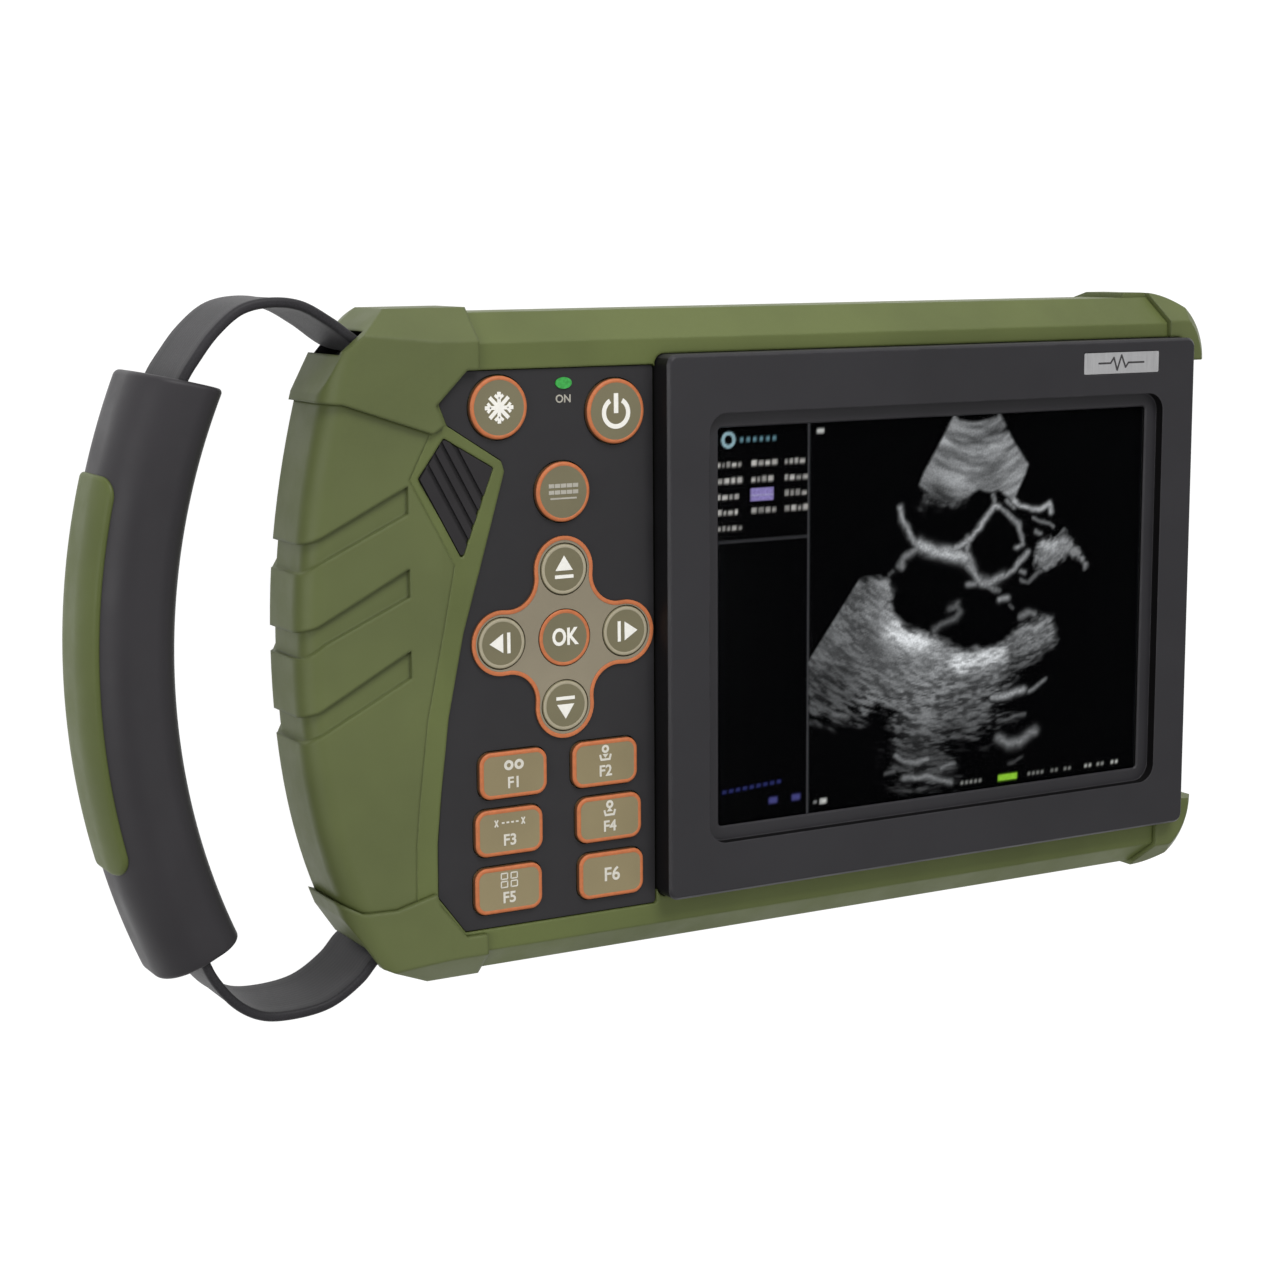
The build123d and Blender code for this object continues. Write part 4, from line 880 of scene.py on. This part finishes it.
paint(bar(-33.8, -33.4, -42.35, 42.35, 0.3), (0.16, 0.16, 0.17))
paint(bar(-56.4, -33.6, 17.8, 18.2, 0.3), (0.13, 0.13, 0.14))
rs = np.random.RandomState(21)
for row, yy in enumerate((34.2, 30.8, 27.5, 24.3, 21.0)):
    for colx, w in ((-56.0, 5.2), (-47.8, 5.2), (-39.6, 5.2)):
        if row == 4 and colx > -50:
            continue
        if row == 2 and colx == -47.8:
            paint(bar(-48.0, -42.4, 26.2, 28.9, 0.2), (0.42, 0.36, 0.66))
            paint(bar(-48.0, -42.4, 27.3, 27.7, 0.2), (0.6, 0.56, 0.8))
            continue
        xx = colx
        while xx < colx + w:
            l = 0.6 + rs.rand() * 0.8
            paint(bar(xx, xx + l, yy - 0.65, yy + 0.65 * (0.3 + 0.7 * rs.rand()), 0.25), tuple(np.array((0.62, 0.60, 0.58)) * (0.55 + 0.6 * rs.rand())))
            xx += l + 0.45
# plain ring mark and short bars where a device would show its start-up mark
paint(sstep(0.55, 0.2, np.abs(np.hypot(X + 53.4, Y - 39.2) - 1.35)), (0.45, 0.62, 0.68))
for i in range(6):
    paint(bar(-50.6 + i * 1.6, -49.8 + i * 1.6, 38.6, 39.6, 0.25), (0.24, 0.4, 0.46))
for i in range(9):
    paint(bar(-55.0 + i * 1.7, -53.9 + i * 1.7, -35.4 + 0.1 * i, -34.6 + 0.1 * i, 0.3), (0.07, 0.08, 0.24))
for i, xx in enumerate((-43.4, -37.6)):
    paint(bar(xx, xx + 2.2, -38.8, -37.4, 0.4), (0.14, 0.14, 0.36))
paint(bar(-31.6, -29.8, 39.6, 40.6, 0.3), (0.7, 0.7, 0.68))
paint(bar(-32.0, -31.2, -40.2, -39.4, 0.2), (0.35, 0.35, 0.35))
paint(bar(-30.4, -28.6, -40.4, -39.2, 0.3), (0.7, 0.7, 0.68))
paint(bar(17.6, 23.0, -40.9, -39.4, 0.25), (0.42, 0.74, 0.10))
for x0, n, br in ((7.2, 5, .4), (26.0, 4, .35), (32.6, 2, .32), (36.4, 2, .34), (42.4, 2, .6), (46.0, 2, .45), (50.2, 2, .7)):
    for i in range(n):
        paint(bar(x0 + i * 1.25, x0 + i * 1.25 + 0.75, -40.5, -39.7, 0.3), (br, br, br * 0.96))

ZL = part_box("lcd_module")[1].z * 1000 - OZ      # front face of the display module
verts = [P(xx, yy, ZL + 0.05) for yy in gy for xx in gx]
w1 = nx + 1
faces = [(j * w1 + i, j * w1 + i + 1, (j + 1) * w1 + i + 1, (j + 1) * w1 + i) for j in range(ny) for i in range(nx)]
base_n = len(verts)
# give the sheet a thickness, so that it is a closed thin film
edge_loop = [i for i in range(w1)] + [j * w1 + nx for j in range(1, ny + 1)] + [ny * w1 + i for i in range(nx - 1, -1, -1)] + [j * w1 for j in range(ny - 1, 0, -1)]
verts += [Vector((verts[i].x, verts[i].y, P(0, 0, ZL + 0.008).z)) for i in edge_loop]
E = len(edge_loop)
for a in range(E):
    b2 = (a + 1) % E
    faces.append((edge_loop[b2], edge_loop[a], base_n + a, base_n + b2))
faces.append(tuple(base_n + i for i in reversed(range(E))))
me = bpy.data.meshes.new("display_picture")
me.from_pydata([tuple(v) for v in verts], [], faces)
col = me.color_attributes.new("echo", "FLOAT_COLOR", "POINT")
buf = np.zeros((len(verts), 4), np.float32)
buf[:, 3] = 1
buf[:base_n, :3] = (np.clip(RGB, 0, 1) ** 1.35 * 0.78).reshape(-1, 3)
col.data.foreach_set("color", buf.ravel())
me.update()
disp = bpy.data.objects.new("display_picture", me)
bpy.context.scene.collection.objects.link(disp)


def display_mat():
    s = Nodes("display_lit")
    a = s.t.nodes.new("ShaderNodeVertexColor")
    a.layer_name = "echo"
    # fine speckle that only shows in the grey tissue
    n1 = s.noise(0.55, 3, 0.7)
    k = s.ramp(n1, 0.25, 0.75, 0.82, 1.18)
    mul = s.t.nodes.new("ShaderNodeVectorMath")
    mul.operation = "SCALE"
    s.link(a.outputs[0], mul.inputs[0])
    s.link(k, mul.inputs["Scale"])
    s.b.inputs["Base Color"].default_value = (0.0008, 0.0008, 0.001, 1)
    s.b.inputs["Roughness"].default_value = 0.5
    s.b.inputs["Specular IOR Level"].default_value = 0.0
    s.link(mul.outputs[0], s.b.inputs["Emission Color"])
    s.b.inputs["Emission Strength"].default_value = 1.0
    return s.m


me.materials.append(display_mat())
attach(disp, "housing")

# ------------------------------------------------------------------ handle: strap, sleeve and pad
CX, CY, AR = -40.7, -0.3, 138.6


def catmull(pts, per=14):
    pts = [np.array(p, float) for p in pts]
    pts = [2 * pts[0] - pts[1]] + pts + [2 * pts[-1] - pts[-2]]
    out = []
    for i in range(1, len(pts) - 2):
        p0, p1, p2, p3 = pts[i - 1:i + 3]
        t0 = 0.0
        t1 = t0 + np.linalg.norm(p1 - p0) ** 0.5
        t2 = t1 + np.linalg.norm(p2 - p1) ** 0.5
        t3 = t2 + np.linalg.norm(p3 - p2) ** 0.5
        for j in range(per):
            t = t1 + (t2 - t1) * j / per
            a1 = (t1 - t) / (t1 - t0) * p0 + (t - t0) / (t1 - t0) * p1
            a2 = (t2 - t) / (t2 - t1) * p1 + (t - t1) / (t2 - t1) * p2
            a3 = (t3 - t) / (t3 - t2) * p2 + (t - t2) / (t3 - t2) * p3
            b1 = (t2 - t) / (t2 - t0) * a1 + (t - t0) / (t2 - t0) * a2
            b2_ = (t3 - t) / (t3 - t1) * a2 + (t - t1) / (t3 - t1) * a3
            out.append((t2 - t) / (t2 - t1) * b1 + (t - t1) / (t2 - t1) * b2_)
    out.append(pts[-2])
    return np.array(out)


TOPS = [(-126.0, 59.2), (-131.8, 60.6), (-138.3, 65.0), (-144.2, 68.2), (-150.2, 68.9), (-156.0, 67.7), (-161.2, 63.7), (-165.0, 59.1)]
BOTS = [(-165.6, -60.2), (-161.2, -65.7), (-156.6, -68.6), (-151.6, -69.5), (-142.4, -68.6), (-135.6, -64.7), (-131.4, -60.6), (-126.5, -59.2)]
MIDS = [(CX + AR * math.cos(math.radians(t)), CY + AR * math.sin(math.radians(t))) for t in (156.6, 162, 170, 180, 190, 198, 203.8)]
path = catmull(TOPS + MIDS + BOTS, 12)
seglen = np.r_[0, np.cumsum(np.linalg.norm(np.diff(path, axis=0), axis=1))]
ns = 260
ss = np.linspace(0, seglen[-1], ns)
path = np.stack([np.interp(ss, seglen, path[:, 0]), np.interp(ss, seglen, path[:, 1])], -1)
tan = np.gradient(path, axis=0)
tan /= np.linalg.norm(tan, axis=1)[:, None]
nor = np.stack([-tan[:, 1], tan[:, 0]], -1)
ZM, HW, HT = -19.0, 10.45, 0.98
sec = []
rc = 0.8
for sx, sz, a in ((1, 1, 0), (-1, 1, 90), (-1, -1, 180), (1, -1, 270)):
    for i in range(5):
        t = math.radians(a + 90 * i / 4)
        sec.append((sx * (HT - rc) + rc * math.cos(t), sz * (HW - rc) + rc * math.sin(t)))
# extra points along the wide sides so that the weave's ribs and edges can show
full = []
for i in range(len(sec)):
    full.append(sec[i])
    j = (i + 1) % len(sec)
    if abs(sec[i][1] - sec[j][1]) > 5:
        for k in range(1, 8):
            u = k / 8
            full.append((sec[i][0] * (1 - u) + sec[j][0] * u, sec[i][1] * (1 - u) + sec[j][1] * u))
sec = full
verts, faces = [], []
for i in range(ns):
    f = ss[i] / ss[-1]
    for u, w in sec:
        # selvedge: the band is a little thicker along its two edges
        k = 1.0
        uu = u * (0.86 + 0.14 * sstep(0.7, 0.93, abs(w) / HW))
        verts.append(P(path[i][0] + nor[i][0] * uu, path[i][1] + nor[i][1] * uu, ZM + w))
K = len(sec)
for i in range(ns - 1):
    for j in range(K):
        j2 = (j + 1) % K
        faces.append((i * K + j, i * K + j2, (i + 1) * K + j2, (i + 1) * K + j))
faces.append(tuple(reversed(range(K))))
faces.append(tuple((ns - 1) * K + j for j in range(K)))
strap = add("strap_band", verts, faces, "strap", "housing", 40)
bm = bmesh.new(); bm.from_mesh(strap.data); bmesh.ops.recalc_face_normals(bm, faces=bm.faces); bm.to_mesh(strap.data); bm.free()
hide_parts("hand_strap")


def sleeve_section(r0, r1, z0, z1, ri, ro, n=12, mid=4):
    """Rounded section in (r, z), counter-clockwise, starting on the outer side."""
    out = []
    cs = [(r1 - ro, z1 - ro, 0, ro), (r0 + ri, z1 - ri, 90, ri), (r0 + ri, z0 + ri, 180, ri), (r1 - ro, z0 + ro, 270, ro)]
    for c in cs:
        for i in range(n):
            t = math.radians(c[2] + 90 * i / (n - 1))
            out.append((c[0] + c[3] * math.cos(t), c[1] + c[3] * math.sin(t)))
    res = []
    for i in range(len(out)):
        a, b3 = out[i], out[(i + 1) % len(out)]
        res.append(a)
        if math.hypot(a[0] - b3[0], a[1] - b3[1]) > 3:
            for k in range(1, mid + 1):
                u = k / (mid + 1)
                res.append((a[0] * (1 - u) + b3[0] * u, a[1] * (1 - u) + b3[1] * u))
    return res


A0, A1 = 155.84, 203.7                       # ends of the sleeve on its inner side
LEAN0, LEAN1 = 1.26, 0.30                    # degrees its ends lean over its thickness
R0, R1, Z0, Z1 = 130.0, 147.0, -31.0, -7.0
RI, RO = 5.0, 9.0
sec = sleeve_section(R0, R1, Z0, Z1, RI, RO)
K = len(sec)
rm, zm = (R0 + R1) / 2, (Z0 + Z1) / 2
END = 1.1                                    # radius of the rounding of its ends
mm_deg = math.degrees(1 / rm)


def ring_of(section, a):
    out = []
    for r, z in section:
        f = (a - A0) / (A1 - A0)
        t = math.radians(a + (LEAN0 * (1 - f) + LEAN1 * f) * (r - R0) / (R1 - R0))
        out.append(P(CX + r * math.cos(t), CY + r * math.sin(t), z))
    return out


def pulled_in(d):
    """Section moved in by d all round."""
    out = []
    for r, z in sec:
        dr, dz = r - rm, z - zm
        k = max(0.0, 1 - d / max(math.hypot(dr, dz), 1e-6))
        out.append((rm + dr * k, zm + dz * k))
    return out


# a shallow mouth round the strap at each end
mouth = []
for r, z in sec:
    dr, dz = (r - rm) / ((R1 - R0) / 2), (z - zm) / ((Z1 - Z0) / 2)
    mouth.append((138.6 + max(-1, min(1, dr * 1.25)) * 1.3, zm + max(-1, min(1, dz * 1.15)) * 10.85))
lip = [(a[0] * 0.9 + b3[0] * 0.1, a[1] * 0.9 + b3[1] * 0.1) for a, b3 in zip(mouth, sec)]
rows = [ring_of(mouth, A0 + 4 * mm_deg), ring_of(mouth, A0 + 0.5 * mm_deg), ring_of(lip, A0)]
for i in range(8):
    t = math.radians(90 * i / 7)
    rows.append(ring_of(pulled_in(END * (1 - math.sin(t))), A0 + END * (1 - math.cos(t)) * mm_deg))
for i in range(1, 60):
    rows.append(ring_of(sec, A0 + END * mm_deg + (A1 - A0 - 2 * END * mm_deg) * i / 60))
for i in range(8):
    t = math.radians(90 * (1 - i / 7))
    rows.append(ring_of(pulled_in(END * (1 - math.sin(t))), A1 - END * (1 - math.cos(t)) * mm_deg))
rows += [ring_of(lip, A1), ring_of(mouth, A1 - 0.5 * mm_deg), ring_of(mouth, A1 - 4 * mm_deg)]
faces = []
verts = [v for r_ in rows for v in r_]
for i in range(len(rows) - 1):
    for j in range(K):
        j2 = (j + 1) % K
        faces.append((i * K + j, i * K + j2, (i + 1) * K + j2, (i + 1) * K + j))
faces.append(tuple(reversed(range(K))))
faces.append(tuple((len(rows) - 1) * K + j for j in range(K)))
sleeve = add("sleeve_grip", verts, faces, "sleeve", "housing", 45)
bm = bmesh.new(); bm.from_mesh(sleeve.data); bmesh.ops.recalc_face_normals(bm, faces=bm.faces); bm.to_mesh(sleeve.data); bm.free()
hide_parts("grip_sleeve")

# pad: a proud strip over the outer side, rounded at its borders and corners
PA0, PA1 = 165.0, 194.9
na, nb = 90, 48
TH = 0.8


def outer_point(s, off):
    """Point on the sleeve's section at arc length s from the middle of its outer side, moved outward by off."""
    flat = (Z1 - Z0) / 2 - RO
    sg = 1 if s >= 0 else -1
    a = abs(s)
    if a <= flat:
        return R1 + off, zm + sg * a
    t = min((a - flat) / RO, math.pi / 2)
    return R1 - RO + (RO + off) * math.cos(t), zm + sg * (flat + (RO + off) * math.sin(t))


EDGE = 9.5         # from the middle of the outer side to the pad's edge, along the section
LEN = math.radians(PA1 - PA0) * R1
verts, faces, idx = [], [], {}
CR = 4.0
us = np.linspace(0, 1, na)
us = 0.5 - 0.5 * np.cos(math.pi * us) * (1 - 0.0)
vs = np.linspace(-1, 1, nb)
vs = np.sin(vs * math.pi / 2)
top_rows, bot_rows = [], []
for i, u in enumerate(us):
    la = (u - 0.5) * LEN
    tr, br = [], []
    for j, v in enumerate(vs):
        # map the unit square to a rounded rectangle
        sx, sy = la, v * EDGE
        hx, hy = LEN / 2, EDGE
        dx, dy = abs(sx) - (hx - CR), abs(sy) - (hy - CR)
        if dx > 0 and dy > 0:
            m_ = max(dx, dy)
            L = math.hypot(dx, dy)
            k = m_ / L
            sx = math.copysign(hx - CR + dx * k, sx)
            sy = math.copysign(hy - CR + dy * k, sy)
            dist = CR - m_
        else:
            dist = min(hx - abs(sx), hy - abs(sy))
        h = TH * math.sqrt(max(0.0, 1 - (1 - min(1.0, dist / 1.1)) ** 2))
        t = math.radians((PA0 + PA1) / 2) + sx / R1
        r, z_ = outer_point(sy, h)
        tr.append(P(CX + r * math.cos(t), CY + r * math.sin(t), z_))
        r, z_ = outer_point(sy, -0.6)
        br.append(P(CX + r * math.cos(t), CY + r * math.sin(t), z_))
    top_rows.append(tr)
    bot_rows.append(br)
verts = [v for r_ in top_rows for v in r_] + [v for r_ in bot_rows for v in r_]
o1 = na * nb
for i in range(na - 1):
    for j in range(nb - 1):
        a = i * nb + j
        faces.append((a, a + 1, a + nb + 1, a + nb))
        faces.append((o1 + a, o1 + a + nb, o1 + a + nb + 1, o1 + a + 1))
for i in range(na - 1):
    for j in (0, nb - 1):
        a = i * nb + j
        f = (a, a + nb, o1 + a + nb, o1 + a)
        faces.append(f if j == 0 else f[::-1])
for j in range(nb - 1):
    for i in (0, na - 1):
        a = i * nb + j
        f = (a, a + 1, o1 + a + 1, o1 + a)
        faces.append(f[::-1] if i == 0 else f)
pad = add("sleeve_pad", verts, faces, "pad", "housing", 50)
bm = bmesh.new(); bm.from_mesh(pad.data); bmesh.ops.recalc_face_normals(bm, faces=bm.faces); bm.to_mesh(pad.data); bm.free()
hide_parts("grip_pad")

# ------------------------------------------------------------------ studio
s = Nodes("studio_floor")
s.link(s.mix(s.ramp(s.noise(300, 2, 0.5), 0.3, 0.7), (0.10, 0.10, 0.10, 1), (0.12, 0.12, 0.12, 1)), s.b.inputs["Base Color"])
s.b.inputs["Roughness"].default_value = 0.9
s.b.inputs["Specular IOR Level"].default_value = 0.0
s.b.inputs["Emission Color"].default_value = (1, 1, 1, 1)
s.b.inputs["Emission Strength"].default_value = 0.99
me = bpy.data.meshes.new("floor")
me.from_pydata([(-4, -4, 0), (4, -4, 0), (4, 4, 0), (-4, 4, 0)], [], [(0, 1, 2, 3)])
floor = bpy.data.objects.new("floor", me)
bpy.context.scene.collection.objects.link(floor)
me.materials.append(s.m)

world = bpy.data.worlds.new("world")
world.use_nodes = True
world.node_tree.nodes["Background"].inputs[0].default_value = (1, 1, 1, 1)
world.node_tree.nodes["Background"].inputs[1].default_value = 0.40
bpy.context.scene.world = world
bpy.context.scene.view_settings.view_transform = "Standard"


def area(name, loc, target, size, power, color=(1, 1, 1)):
    l = bpy.data.lights.new(name, "AREA")
    l.shape = "DISK"
    l.size = size
    l.energy = power
    l.color = color
    o = bpy.data.objects.new(name, l)
    bpy.context.scene.collection.objects.link(o)
    o.location = loc
    o.rotation_mode = "QUATERNION"
    o.rotation_quaternion = (Vector(target) - Vector(loc)).to_track_quat("-Z", "Y")
    return o


area("key_top", (0.05, 1.1, 0.85), (0, 0, 0), 0.7, 12)
area("fill_left", (-1.2, 0.1, 0.7), (0, 0, 0), 0.9, 6)
area("front_soft", (0.3, -0.2, 1.6), (0, 0, 0), 1.2, 3)
